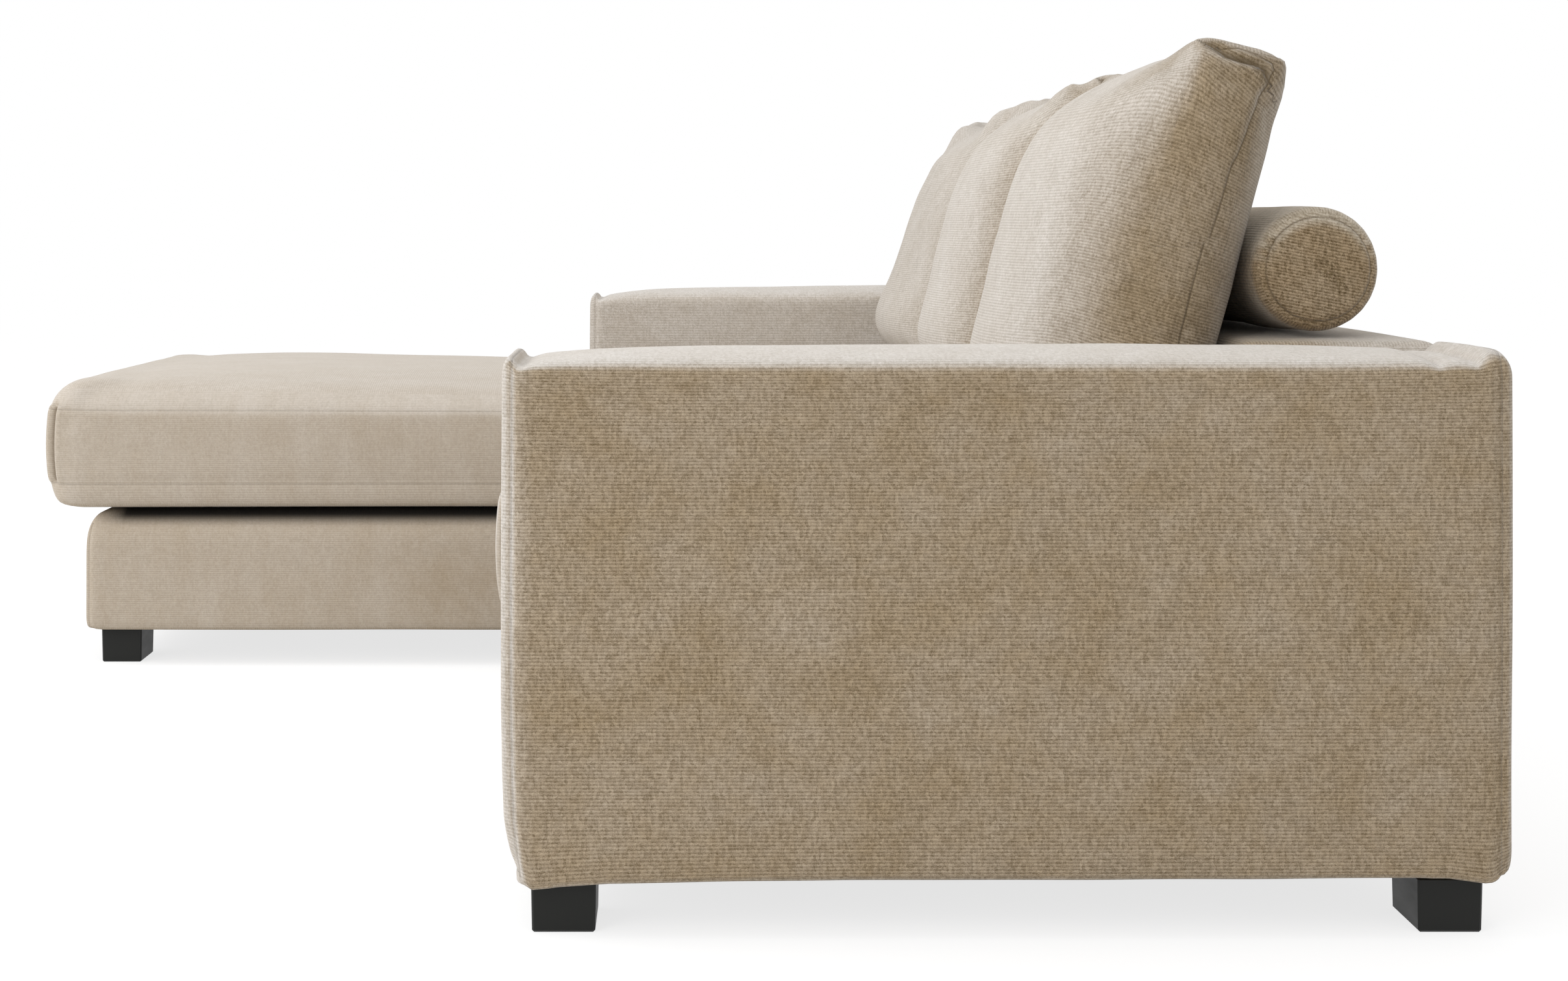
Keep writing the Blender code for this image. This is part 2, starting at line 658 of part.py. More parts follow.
def add_bolster(name, span, back_cover):
    """A turned roll on the back rail, swelling to its middle."""
    half_length = (span[1] - span[0]) / 2 - BACK_CUSHION_SIDE - BOLSTER_END_ROOM
    end_radius = BOLSTER_RADIUS - BOLSTER_SWELL
    flat_radius = end_radius - BOLSTER_END_ROUND
    profile = [(0.0, half_length)]
    for step in range(BOLSTER_ARC_STEPS + 1):
        angle = math.pi / 2 * step / BOLSTER_ARC_STEPS
        radius = flat_radius + BOLSTER_END_ROUND * math.sin(angle)
        profile.append((radius, half_length - BOLSTER_END_ROUND * (1 - math.cos(angle))))
    upper = profile[1:]
    profile.append((BOLSTER_RADIUS, 0.0))
    profile += [(radius, -height) for radius, height in reversed(upper)]
    profile.append((0.0, -half_length))
    bm = bmesh.new()
    verts = [bm.verts.new((radius, 0, height)) for radius, height in profile]
    for first, second in zip(verts, verts[1:]):
        bm.edges.new((first, second))
    location = (
        (span[0] + span[1]) / 2,
        Y_BACK - BOLSTER_FROM_BACK,
        BACK_TOP + BOLSTER_RADIUS + CUSHION_GAP,
    )
    bolster = add_piece(name, mesh_from(bm, name), location, "cushion_fabric")
    bolster.rotation_euler = (0, math.pi / 2, 0)
    screw = bolster.modifiers.new("turned", "SCREW")
    screw.steps = BOLSTER_SIDES
    screw.render_steps = BOLSTER_SIDES
    screw.use_merge_vertices = True
    screw.merge_threshold = 0.00005
    screw.use_smooth_shade = True
    slide_to_touch(bolster, back_cover, (0, 0, -1))
    return bolster


# Arms, backs and bases
frame_right = add_arm("right", (X_ARM, Y_ARM_FRONT, Z_UNDER), (X_RIGHT, Y_BACK, ARM_TOP))
frame_left = add_arm("left", (-X_RIGHT, Y_ARM_FRONT, Z_UNDER), (-X_ARM, Y_BACK, ARM_TOP))
back_sofa, back_frame_sofa = add_back("sofa", X_SOFA)
back_chaise, back_frame_chaise = add_back("chaise", X_CHAISE)
seat_frame, seat_low, seat_high = add_base("seat", X_SOFA, Y_SEAT_FRONT, 0)
chaise_frame, chaise_low, chaise_high = add_base("chaise", X_CHAISE, Y_CHAISE_FRONT, 1)
add_springs("seat", seat_low, seat_high, 1, SPRINGS_SEAT, LOOPS_SEAT)
add_springs("chaise", chaise_low, chaise_high, 0, SPRINGS_CHAISE, LOOPS_CHAISE)

# Dust cloths, one under each module. The chaise's is an L, because its arm stops short of its front.
sheet_top = Z_SHEET + SHEET_THICKNESS
cloth_sofa = add_block(
    "dust_cloth_sofa",
    (X_SOFA[0] + SHEET_INSET, Y_ARM_FRONT + SHEET_INSET, Z_SHEET),
    (X_RIGHT - SHEET_INSET, Y_BACK - SHEET_INSET, sheet_top),
    "dust_cloth",
)
cloth_chaise = add_block(
    "dust_cloth_chaise",
    (-X_RIGHT + SHEET_INSET, Y_CHAISE_FRONT + SHEET_INSET, Z_SHEET),
    (X_CHAISE[1] - SHEET_INSET, Y_BACK - SHEET_INSET, sheet_top),
    "dust_cloth",
)
cut_block(
    cloth_chaise,
    (-X_RIGHT - OVERRUN, Y_CHAISE_FRONT - OVERRUN, Z_SHEET - OVERRUN),
    (-X_ARM + SHEET_INSET, Y_ARM_FRONT + SHEET_INSET, sheet_top + OVERRUN),
)

# Feet: four under each module's corners, and one more where the chaise is longest
x_arm_foot = X_RIGHT - FOOT_SIDE_INSET - FOOT_WIDTH / 2
y_front_foot = Y_ARM_FRONT + FOOT_END_INSET + FOOT_LENGTH / 2
y_back_foot = Y_BACK - FOOT_END_INSET - FOOT_LENGTH / 2
x_sofa_foot = X_SPLIT + CHAISE_FOOT_SIDE + FOOT_WIDTH / 2
x_chaise_foot = X_SPLIT - CHAISE_FOOT_SIDE - FOOT_WIDTH / 2
x_far_foot = -X_ARM + CHAISE_FOOT_SIDE + FOOT_WIDTH / 2
y_chaise_foot = Y_CHAISE_FRONT + CHAISE_FOOT_FRONT + FOOT_LENGTH / 2
add_foot("foot_right_front", x_arm_foot, y_front_foot, (frame_right, cloth_sofa))
add_foot("foot_right_back", x_arm_foot, y_back_foot, (frame_right, cloth_sofa))
add_foot("foot_sofa_front", x_sofa_foot, y_front_foot, (seat_frame, cloth_sofa))
add_foot("foot_sofa_back", x_sofa_foot, y_back_foot, (back_frame_sofa, cloth_sofa))
add_foot("foot_left_front", -x_arm_foot, y_front_foot, (frame_left, cloth_chaise))
add_foot("foot_left_back", -x_arm_foot, y_back_foot, (frame_left, cloth_chaise))
add_foot("foot_chaise_back", x_chaise_foot, y_back_foot, (back_frame_chaise, cloth_chaise))
add_foot("foot_chaise_right", x_chaise_foot, y_chaise_foot, (chaise_frame, cloth_chaise))
add_foot("foot_chaise_left", x_far_foot, y_chaise_foot, (chaise_frame, cloth_chaise))

add_connector("front", Y_SEAT_FRONT + CONNECTOR_INSET)
add_connector("back", Y_BACK_REAR - CONNECTOR_INSET)

# Cushions and bolsters
x_sofa_middle = (X_SPLIT + X_ARM) / 2
spans = {
    "right": (x_sofa_middle + CUSHION_GAP / 2, X_ARM - CUSHION_GAP),
    "middle": (X_SPLIT + CUSHION_GAP / 2, x_sofa_middle - CUSHION_GAP / 2),
    "chaise": (-X_ARM + CUSHION_GAP, X_SPLIT - CUSHION_GAP / 2),
}
for place, span in spans.items():
    nose = -Y_BACK if place == "chaise" else Y_ARM_FRONT - SEAT_NOSE
    seat_cushion = add_seat_cushion(f"seat_cushion_{place}", span, nose)
    back_cover = back_chaise if place == "chaise" else back_sofa
    add_back_cushion(f"back_cushion_{place}", span, seat_cushion, back_cover)
    add_bolster(f"bolster_{place}", span, back_cover)
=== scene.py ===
# Lounge sofa with a chaise longue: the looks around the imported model.
# Metres, +Z up, front towards -Y, the near arm at +X.
import math

import bmesh
import bpy
import numpy as np
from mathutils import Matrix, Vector


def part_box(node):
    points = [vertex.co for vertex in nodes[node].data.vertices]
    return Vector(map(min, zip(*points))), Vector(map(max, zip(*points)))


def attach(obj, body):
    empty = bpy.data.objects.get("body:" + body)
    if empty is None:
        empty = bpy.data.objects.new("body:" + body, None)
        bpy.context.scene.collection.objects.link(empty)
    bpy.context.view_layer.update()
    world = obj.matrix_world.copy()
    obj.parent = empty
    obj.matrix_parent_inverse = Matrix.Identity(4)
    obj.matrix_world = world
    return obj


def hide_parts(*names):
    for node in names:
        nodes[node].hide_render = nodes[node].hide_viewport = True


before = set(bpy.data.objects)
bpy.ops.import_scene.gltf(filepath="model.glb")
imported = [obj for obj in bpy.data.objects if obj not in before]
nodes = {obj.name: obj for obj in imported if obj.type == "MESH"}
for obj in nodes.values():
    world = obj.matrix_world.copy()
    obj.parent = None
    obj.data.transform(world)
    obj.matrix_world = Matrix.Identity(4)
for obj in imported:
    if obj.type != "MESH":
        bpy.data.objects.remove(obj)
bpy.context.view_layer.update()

scene = bpy.context.scene
print("stage: model loaded,", len(nodes), "nodes")

# Camera: level, with its lens shifted, from the sofa's right
camera = {
    "place": (3.58, 0.098, 0.664),
    "lens": 56.92,
    "shift": (0.0654, -0.164),
}
bpy.ops.object.camera_add(location=camera["place"], rotation=(math.radians(90), 0, math.radians(90)))
cameraObject = bpy.context.object
cameraObject.name = "camera"
cameraObject.data.sensor_width = 36
cameraObject.data.lens = camera["lens"]
cameraObject.data.shift_x, cameraObject.data.shift_y = camera["shift"]
scene.camera = cameraObject
scene.view_settings.view_transform = "Standard"


def linear(hexCode):
    values = [int(hexCode[i:i + 2], 16) / 255 for i in (1, 3, 5)]
    return tuple(v / 12.92 if v <= 0.04045 else ((v + 0.055) / 1.055) ** 2.4 for v in values) + (1.0,)


def fillNode(tree, node, values):
    # Its settings, and for each socket a value or what feeds it: a socket, or a node for that node's first output
    for key, value in values.items():
        if isinstance(value, bpy.types.Node):
            value = value.outputs[0]
        if isinstance(value, bpy.types.NodeSocket):
            tree.links.new(value, node.inputs[key])
        elif isinstance(key, str) and hasattr(node, key):
            setattr(node, key, value)
        else:
            node.inputs[key].default_value = value


def addNode(tree, kind, values):
    node = tree.nodes.new("ShaderNode" + kind)
    fillNode(tree, node, values)
    return node


def startMaterial(name):
    material = bpy.data.materials.new(name)
    material.use_nodes = True
    return material, material.node_tree, material.node_tree.nodes["Principled BSDF"]


# Woven chenille velvet, polyester: fuzzy yarn in ribs 3.3 mm apart, each a row of uneven knots some 2.5 mm long.
# The short pile looks light across its lay and dark along it, and shows its weave most where it looks dark.
# The attribute for its lay also holds painted light and shade: each side lighter or darker by which way it faces.
# It keeps small dark marks where it was stroked.
weave = {
    "perMetre": 100,  # its patterns are in centimetres
    "rib": 0.33,
    "knot": 0.25,
    "wander": (0.07, 0.04, 0.0),
    "ribs": 0.17,  # how much each part lightens and darkens the cloth
    "knots": 0.17,
    "fuzz": 0.31,
    "slubs": 0.07,
    "warpThreads": 0.10,
    # Stretch along and across, detail and roughness of three of its patterns
    "slubShape": ((0.5, 3.0, 1.0), 3.0, 0.5),
    "threadShape": ((3.4, 0.35, 1.0), 3.0, 0.5),
    "speckShape": ((2.6, 1.8, 1.0), 4.0, 0.8),
    "marksFade": 0.22,
    "shaded": (0.46, 0.42, 0.34, 1),
    "lit": (1.42, 1.46, 1.54, 1),
    # Painted shade: near black for the gap under the seat cushions
    "gapShadeColour": "#0e0b07",
    "height": 0.0007,
    "seamHeight": 0.0022,
}


# Sockets 6 and 7 of a Mix node are its two colours, and its output 2 is the mixed one
def makeChenille(name, look):
    material, tree, shader = startMaterial(name)
    uv = addNode(tree, "UVMap", {"uv_map": "weave"})
    cm = addNode(tree, "VectorMath", {"operation": "MULTIPLY", 0: uv, 1: (weave["perMetre"],) * 3})
    wander = addNode(tree, "TexNoise", {"Scale": 0.9, "Detail": 2.0, "Vector": cm})
    centred = addNode(tree, "VectorMath", {"operation": "SUBTRACT", 0: wander.outputs["Color"], 1: (0.5,) * 3})
    warped = addNode(tree, "VectorMath", {"operation": "MULTIPLY_ADD", 0: centred, 1: weave["wander"], 2: cm})
    ribs = addNode(tree, "TexWave", {
        "bands_direction": "Y", "Scale": 2 * math.pi / (20 * weave["rib"]), "Distortion": 1.1, "Detail": 2.0,
        "Detail Scale": 3.0, "Vector": warped})
    knotPlace = addNode(tree, "Mapping", {"Scale": (1 / weave["knot"], 1 / weave["rib"], 1.0), "Vector": warped})
    knots = addNode(tree, "TexVoronoi", {"Scale": 1.0, "Randomness": 0.65, "Vector": knotPlace})
    fuzz = addNode(tree, "TexNoise", {"Scale": 10.0, "Detail": 2.0, "Roughness": 0.6, "Vector": cm})
    slubs, threads, specks = (
        addNode(tree, "TexNoise", {
            "Scale": 1.0, "Detail": detail, "Roughness": roughness,
            "Vector": addNode(tree, "Mapping", {"Scale": scale, "Vector": warped})})
        for scale, detail, roughness in (weave["slubShape"], weave["threadShape"], weave["speckShape"]))
    shade = None
    for source, low, high, amount in (
            (ribs.outputs["Fac"], 0.0, 1.0, weave["ribs"]), (knots.outputs["Color"], 0.2, 0.8, weave["knots"]),
            (fuzz, 0.3, 0.7, weave["fuzz"]), (slubs, 0.3, 0.7, weave["slubs"]),
            (threads, 0.3, 0.7, weave["warpThreads"])):
        part = addNode(tree, "MapRange", {
            "Value": source, "From Min": low, "From Max": high, "To Min": -amount, "To Max": amount})
        shade = addNode(tree, "Math", {"operation": "ADD", 0: shade, 1: part}) if shade else part
    napAndShade = addNode(tree, "Attribute", {"attribute_name": "napAndShade"})
    contrast = addNode(tree, "MapRange", {
        "Value": napAndShade.outputs["Fac"], "From Min": 0.1, "From Max": 0.95, "To Min": look["deepContrast"],
        "To Max": look["lightContrast"]})
    level = addNode(tree, "Math", {"operation": "MULTIPLY_ADD", 0: shade, 1: contrast, 2: 0.5})
    woven = addNode(tree, "Mix", {
        "data_type": "RGBA", "clamp_factor": False, 0: level, 6: weave["shaded"], 7: weave["lit"]})
    # Cloudy pile, in metres, mixes the lay's two colours, by an attribute that also holds painted light and shade
    cloudPlace = addNode(tree, "Mapping", {"Scale": look["cloudScale"], "Vector": uv})
    clouds = addNode(tree, "TexNoise", {"Scale": 11.0, "Detail": 6.0, "Roughness": 0.7, "Vector": cloudPlace})
    cloudPart = addNode(tree, "MapRange", {
        "Value": clouds, "From Min": 0.3, "From Max": 0.7, "To Min": -look["clouds"], "To Max": look["clouds"]})
    napAndShadeAll = addNode(tree, "Math", {"operation": "ADD", "use_clamp": True, 0: napAndShade.outputs["Fac"], 1: cloudPart})
    pile = addNode(tree, "Mix", {"data_type": "RGBA", 0: napAndShadeAll, 6: linear(look["deep"]), 7: linear(look["light"])})
    # Marks: specks some 5 mm wide that gather in patches some 4 cm wide
    patchPlace = addNode(tree, "Mapping", {
        "Location": (look["place"], 0.3, 0.0), "Scale": (22.0, 17.0, 1.0), "Vector": uv})
    patches = addNode(tree, "TexNoise", {"Scale": 1.0, "Detail": 3.0, "Roughness": 0.6, "Vector": patchPlace})
    gathered = addNode(tree, "Math", {"operation": "ADD", 0: patches, 1: specks})
    marks = addNode(tree, "MapRange", {
        "Value": gathered, "From Min": look["marksFrom"], "From Max": look["marksFrom"] + weave["marksFade"],
        "To Min": 0.0, "To Max": look["marks"]})
    marksHere = addNode(tree, "Math", {"operation": "MULTIPLY", 0: marks, 1: contrast})
    marked = addNode(tree, "Mix", {
        "data_type": "RGBA", "clamp_factor": True, 0: marksHere, 6: pile.outputs[2], 7: linear(look["mark"])})
    cloth = addNode(tree, "Mix", {
        "data_type": "RGBA", "blend_type": "MULTIPLY", 0: 1.0, 6: marked.outputs[2], 7: woven.outputs[2]})
    # Seams: the nearest of three distances in millimetres, with a little wander, a thin dark line beside a soft fold;
    # along the third distance a wider band of painted shade, for folds and creased corners
    seam = addNode(tree, "Attribute", {"attribute_name": "seam"})
    seamParts = addNode(tree, "SeparateXYZ", {0: seam.outputs["Vector"]})
    nearest = None
    for part in seamParts.outputs:
        distance = addNode(tree, "Math", {"operation": "ABSOLUTE", 0: part})
        nearest = addNode(tree, "Math", {"operation": "MINIMUM", 0: nearest, 1: distance}) if nearest else distance
    uneven = addNode(tree, "Math", {"operation": "MULTIPLY_ADD", 0: fuzz, 1: 1.6, 2: nearest})
    # Painted shade: the third distance darkens a wider band along folds and creased corners
    creased = addNode(tree, "Math", {"operation": "ABSOLUTE", 0: seamParts.outputs[2]})
    seamDark, creaseShade = (
        addNode(tree, "MapRange", {
            "interpolation_type": "SMOOTHSTEP", "Value": distance, "From Min": start, "From Max": end,
            "To Min": depth, "To Max": 0.0})
        for distance, start, end, depth in (
            (uneven, 0.9, 2.6, look["seamDark"]), (creased, 0.5, 8.0, look["creaseShade"])))
    darkest = addNode(tree, "Math", {"operation": "MAXIMUM", 0: seamDark, 1: creaseShade})
    sewn = addNode(tree, "Mix", {"data_type": "RGBA", 0: darkest, 6: cloth.outputs[2], 7: linear(look["seamShade"])})
    seamScale = addNode(tree, "Math", {"operation": "MULTIPLY", 0: nearest, 1: 0.1})
    seamRise = addNode(tree, "ValToRGB", {0: seamScale})
    ramp = seamRise.color_ramp
    ramp.interpolation = "B_SPLINE"
    ramp.elements.remove(ramp.elements[1])
    for step, (place, height) in enumerate(look["seamProfile"]):
        stop = ramp.elements[0] if step == 0 else ramp.elements.new(place)
        stop.position, stop.color = place, (height, height, height, 1)
    # Painted shade: a near-black band, drawn as platform cloth, where the covers go under the seat cushions
    gapShade = addNode(tree, "Attribute", {"attribute_name": "gapShade"})
    faced = addNode(tree, "Mix", {
        "data_type": "RGBA", 0: gapShade.outputs["Fac"], 6: sewn.outputs[2], 7: linear(weave["gapShadeColour"])})
    # Relief: the ribs, the knots' domes and the fuzz
    dome = addNode(tree, "Math", {
        "operation": "MULTIPLY_ADD", 0: knots.outputs["Distance"], 1: -0.7, 2: ribs.outputs["Fac"]})
    rise = addNode(tree, "Math", {"operation": "MULTIPLY_ADD", 0: fuzz, 1: 0.9, 2: dome})
    weaveBump = addNode(tree, "Bump", {"Strength": look["bump"], "Distance": weave["height"], "Height": rise})
    seamBump = addNode(tree, "Bump", {
        "Strength": look["seamBump"], "Distance": weave["seamHeight"], "Height": seamRise, "Normal": weaveBump})
    fillNode(tree, shader, {
        "Base Color": faced.outputs[2], "Normal": seamBump, "Roughness": 0.9, "Specular IOR Level": 0.2,
        "Sheen Weight": look["sheen"], "Sheen Roughness": 0.45, "Sheen Tint": linear("#f4f1ec")})
    return material


# Seams seen across, in centimetres and shares of their height: a flat fold pulled in, or a thin raised welt
sunkSeam = ((0.0, 0.0), (0.26, 0.95), (0.75, 0.5))
raisedSeam = ((0.0, 1.0), (0.14, 0.95), (0.27, 0.0), (0.75, 0.5))
coverLook = {
    "deep": "#968367", "light": "#cbc5be", "mark": "#6a593e", "clouds": 0.10, "marks": 0.28, "marksFrom": 1.10,
    "place": 0.0, "deepContrast": 1.0, "lightContrast": 0.40, "bump": 0.5, "sheen": 0.35, "seamDark": 0.30,
    "cloudScale": (1.0, 1.0, 1.0), "creaseShade": 0.75, "seamShade": "#5d4e38", "seamProfile": raisedSeam,
    "seamBump": 0.8,
}
baseLook = dict(
    coverLook, place=2.3, clouds=0.08, cloudScale=(1.7, 0.6, 1.0), deepContrast=0.31, lightContrast=0.22, bump=0.22,
    sheen=0.0)
seatLook = dict(
    baseLook, place=3.7, sheen=0.25, seamDark=0.10, seamBump=0.6, creaseShade=0.82)
# The back cushions' and bolsters' deeper pile is partly their own tone and partly painted shade of their ends
pillowLook = dict(
    coverLook, deep="#8d7c63", place=5.1, marks=0.45, marksFrom=1.07, seamDark=0.75, seamProfile=sunkSeam)
bolsterLook = dict(
    pillowLook, deep="#8f7a5c", light="#c9c0b0", place=8.1, marks=0.8, marksFrom=1.04, deepContrast=1.3, seamDark=0.6)
coverFabric = makeChenille("chenille_cover", coverLook)
baseFabric = makeChenille("chenille_base", baseLook)
seatFabric = makeChenille("chenille_seat_cushion", seatLook)
pillowFabric = makeChenille("chenille_back_cushion", pillowLook)
bolsterFabric = makeChenille("chenille_bolster", bolsterLook)

print("stage: fabrics made")


# Tools for soft pieces


def deselectAll():
    if bpy.context.mode != "OBJECT":
        bpy.ops.object.mode_set(mode="OBJECT")
    bpy.ops.object.select_all(action="DESELECT")


def makeActive(piece):
    deselectAll()
    piece.select_set(True)
    bpy.context.view_layer.objects.active = piece


def points(piece, key="co"):
    values = np.zeros(len(piece.data.vertices) * 3)
    piece.data.vertices.foreach_get(key, values)
    return values.reshape(-1, 3)


def setPoints(piece, values):
    piece.data.vertices.foreach_set("co", values.astype(np.float32).ravel())
    piece.data.update()


def normals(piece):
    return points(piece, "normal")


def setField(piece, name, values):
    kind = "FLOAT" if values.ndim == 1 else "FLOAT_VECTOR"
    field = piece.data.attributes.get(name) or piece.data.attributes.new(name, kind, "POINT")
    field.data.foreach_set("value" if values.ndim == 1 else "vector", values.astype(np.float32).ravel())


def getField(piece, name):
    field = piece.data.attributes[name]
    wide = 1 if field.data_type == "FLOAT" else 3
    values = np.zeros(len(piece.data.vertices) * wide, np.float32)
    field.data.foreach_get("value" if wide == 1 else "vector", values)
    return values if wide == 1 else values.reshape(-1, 3)


def bell(distance, width):
    return np.exp(-((distance / width) ** 2))


def smooth(share):
    # Eases a share from 0 to 1 in and out
    return share * share * (3 - 2 * share)


def climb(values, start, width):
    # From 0 at the start to 1 a width farther on
    return np.clip((values - start) / width, 0, 1)


def readCurve(curve, places):
    # The value of a table of places and values, anywhere between them
    return np.interp(places, *np.array(curve).T)


def addBox(low, high):
    deselectAll()
    size = [high[i] - low[i] for i in range(3)]
    bpy.ops.mesh.primitive_cube_add(size=1, location=[(low[i] + high[i]) / 2 for i in range(3)], scale=size)
    bpy.ops.object.transform_apply(location=True, rotation=True, scale=True)
    return bpy.context.object


def selectParts(piece, kind, wanted):
    # Selects the edges or faces that are wanted, in edit mode
    bpy.context.tool_settings.mesh_select_mode = (False, kind == "edges", kind == "faces")
    bpy.ops.mesh.select_all(action="DESELECT")
    net = bmesh.from_edit_mesh(piece.data)
    for part in getattr(net, kind):
        part.select = bool(wanted(part))
    bmesh.update_edit_mesh(piece.data)


def paddedBlock(name, low, high, rounding, spacing):
    # A box with rounded edges, cut into an even net of faces
    piece = addBox(low, high)
    piece.name = name
    bpy.ops.object.mode_set(mode="EDIT")
    bpy.context.tool_settings.mesh_select_mode = (False, True, False)
    bpy.ops.mesh.select_all(action="SELECT")
    bpy.ops.mesh.bevel(offset=rounding, segments=4, affect="EDGES")
    for axis in range(3):
        longest = high[axis] - low[axis] - 2 * rounding

        def lengthwise(edge):
            way = edge.verts[1].co - edge.verts[0].co
            return abs(way[axis]) > 0.9 * longest and way.length < longest * 1.1

        selectParts(piece, "edges", lengthwise)
        bpy.ops.mesh.subdivide(number_cuts=max(1, round(longest / spacing) - 1))
    bpy.ops.object.mode_set(mode="OBJECT")
    return piece


def faceLoops(piece):
    # For each corner of each face: its vertex, and its face's normal and middle
    mesh = piece.data
    vertices = np.zeros(len(mesh.loops), np.int32)
    mesh.loops.foreach_get("vertex_index", vertices)
    corners = np.zeros(len(mesh.polygons), np.int32)
    mesh.polygons.foreach_get("loop_total", corners)
    found = [vertices]
    for key in ("normal", "center"):
        values = np.zeros(len(mesh.polygons) * 3)
        mesh.polygons.foreach_get(key, values)
        found.append(np.repeat(values.reshape(-1, 3), corners, axis=0))
    return found


def layWeave(piece, low, high, rounding, topAlongY=False, slant=0.0):
    # The cloth's own coordinates in metres: round the sides and up them, and flat over the top
    place = points(piece)
    centre = (np.array(low) + np.array(high)) / 2
    core = (np.array(high) - np.array(low)) / 2 - rounding
    flat = place[:, :2] - centre[:2]
    rest = flat - np.clip(flat, -core[:2], core[:2])
    quarter = rounding * math.pi / 2
    frontCorner = core[0] + quarter + 2 * core[1]
    # From the middle of the back, round by the right and by the left, to the middle of the front
    onX, back, front = np.abs(rest[:, 0]) > 1e-6, rest[:, 1] > 1e-6, rest[:, 1] < -1e-6
    angle = np.arctan2(np.abs(rest[:, 1]), np.abs(rest[:, 0]))
    across = np.abs(flat[:, 0])
    u = np.select(
        [onX & back, onX & front, onX, back, front],
        [core[0] + quarter - rounding * angle, frontCorner + rounding * angle,
         core[0] + quarter + core[1] - flat[:, 1], across, frontCorner + quarter + core[0] - across], 0)
    u = np.where(flat[:, 0] > 0, u, -u)
    vertices, facing, middles = faceLoops(piece)
    side = np.stack([u, place[:, 2] + slant * flat[:, 1]], axis=1)[vertices]
    # Both ends of the wrap meet at the middle of the front: a face there takes the side that its middle is on
    x = flat[vertices, 0]
    meeting = frontCorner + quarter + core[0] - np.where(middles[:, 0] > centre[0], x, -x)
    meeting *= np.where(middles[:, 0] > centre[0], 1, -1)
    side[:, 0] = np.where((front & ~onX)[vertices], meeting, side[:, 0])
    top = (place[:, [1, 0]] if topAlongY else place[:, :2])[vertices] + np.array([0.37, 0.81])
    onTop = np.abs(facing[:, 2]) > 0.72
    layer = piece.data.uv_layers.get("weave") or piece.data.uv_layers.new(name="weave")
    layer.data.foreach_set("uv", np.where(onTop[:, None], top, side).astype(np.float32).ravel())


def startPiece(node, look, low, high, **lay):
    # The padded block with its weave, its points, and how far they are from its middle, from -1 to 1
    piece = paddedBlock(node + "_soft", low, high, look["rounding"], look["spacing"])
    layWeave(piece, low, high, look["rounding"], **lay)
    rest = points(piece)
    low, high = np.array(low), np.array(high)
    return piece, rest, (rest - (low + high) / 2) / ((high - low) / 2)


def pushOut(piece, height):
    # Moves its surface out by a height at each point, or in where that is below zero
    setPoints(piece, points(piece) + normals(piece) * height[:, None])


def applyModifier(piece, kind, **settings):
    makeActive(piece)
    modifier = piece.modifiers.new(kind.lower(), kind)
    for key, value in settings.items():
        setattr(modifier, key, value)
    bpy.ops.object.modifier_apply(modifier=modifier.name)


def refine(piece):
    applyModifier(piece, "SUBSURF", levels=1, render_levels=1)
    piece.data.shade_smooth()


def subdivideWhere(piece, wanted):
    # Halves the faces there, for folds smaller than the net
    makeActive(piece)
    bpy.ops.object.mode_set(mode="EDIT")
    selectParts(piece, "faces", lambda face: all(wanted[corner.index] for corner in face.verts))
    bpy.ops.mesh.subdivide(number_cuts=1)
    bpy.ops.object.mode_set(mode="OBJECT")


def finishPiece(piece, node, body, material):
    makeActive(piece)
    piece.data.materials.clear()
    piece.data.materials.append(material)
    piece.data.shade_smooth()
    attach(piece, body)
    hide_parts(node)
    print("piece:", piece.name, len(piece.data.polygons), "faces")


def addGroup(piece, name, weights, least):
    group = piece.vertex_groups.new(name=name)
    for index, weight in enumerate(weights):
        if weight > least:
            group.add([index], float(weight), "REPLACE")


def puff(piece, seams, above, look):
    # A cloth that air presses out, held at its seams and its underside
    rest = points(piece)
    atSeams, atUnderside = look["held"]
    sewn = np.maximum(bell(seams / 1000, atSeams), np.clip((atUnderside - above) / atUnderside, 0, 1))
    addGroup(piece, "sewn", sewn, 0.05)
    modifier = piece.modifiers.new("cloth", "CLOTH")
    settings = modifier.settings
    settings.quality = 4
    settings.mass = 0.3
    settings.tension_stiffness = 15
    settings.compression_stiffness = 15
    settings.shear_stiffness = 8
    settings.bending_stiffness = 2
    settings.use_pressure = True
    settings.uniform_pressure_force = look["pressure"]
    settings.vertex_group_mass = "sewn"
    settings.effector_weights.gravity = 0
    modifier.point_cache.frame_start = 1
    modifier.point_cache.frame_end = 20
    for step in range(1, 21):
        scene.frame_set(step)
    makeActive(piece)
    bpy.ops.object.modifier_apply(modifier="cloth")
    moved = (points(piece) - rest) * np.array(look["puffShares"])
    length = np.linalg.norm(moved, axis=1, keepdims=True)
    moved *= np.minimum(1, look["cap"] / np.maximum(length, 1e-9))
    setPoints(piece, rest + moved)
    piece.vertex_groups.clear()


def ripple(place, size, seed):
    # Soft waves in four directions, from -1 to 1
    total = np.zeros(len(place))
    for step in range(4):
        turn = seed * 1.7 + step * 2.4
        way = np.array([math.cos(turn), math.sin(turn * 1.3), math.sin(turn + 0.8)])
        total += np.sin(place @ way * (2 * math.pi / (size * (1 + 0.37 * step))) + turn * 3)
    return total / 4


def waves(piece, look, seed):
    # Its soft waves together: the size and height of each, and what tells them apart
    place = points(piece)
    return sum(ripple(place, size, seed + other) * height for size, height, other in look["waves"])


farSeam = 300.0  # mm, where no seam shows


def setSeams(piece, *distances):
    # Up to three distances to its seams, in millimetres, below zero on their one side
    away = np.full(len(piece.data.vertices), farSeam)
    setField(piece, "seam", np.stack((distances + (away, away))[:3], axis=1))


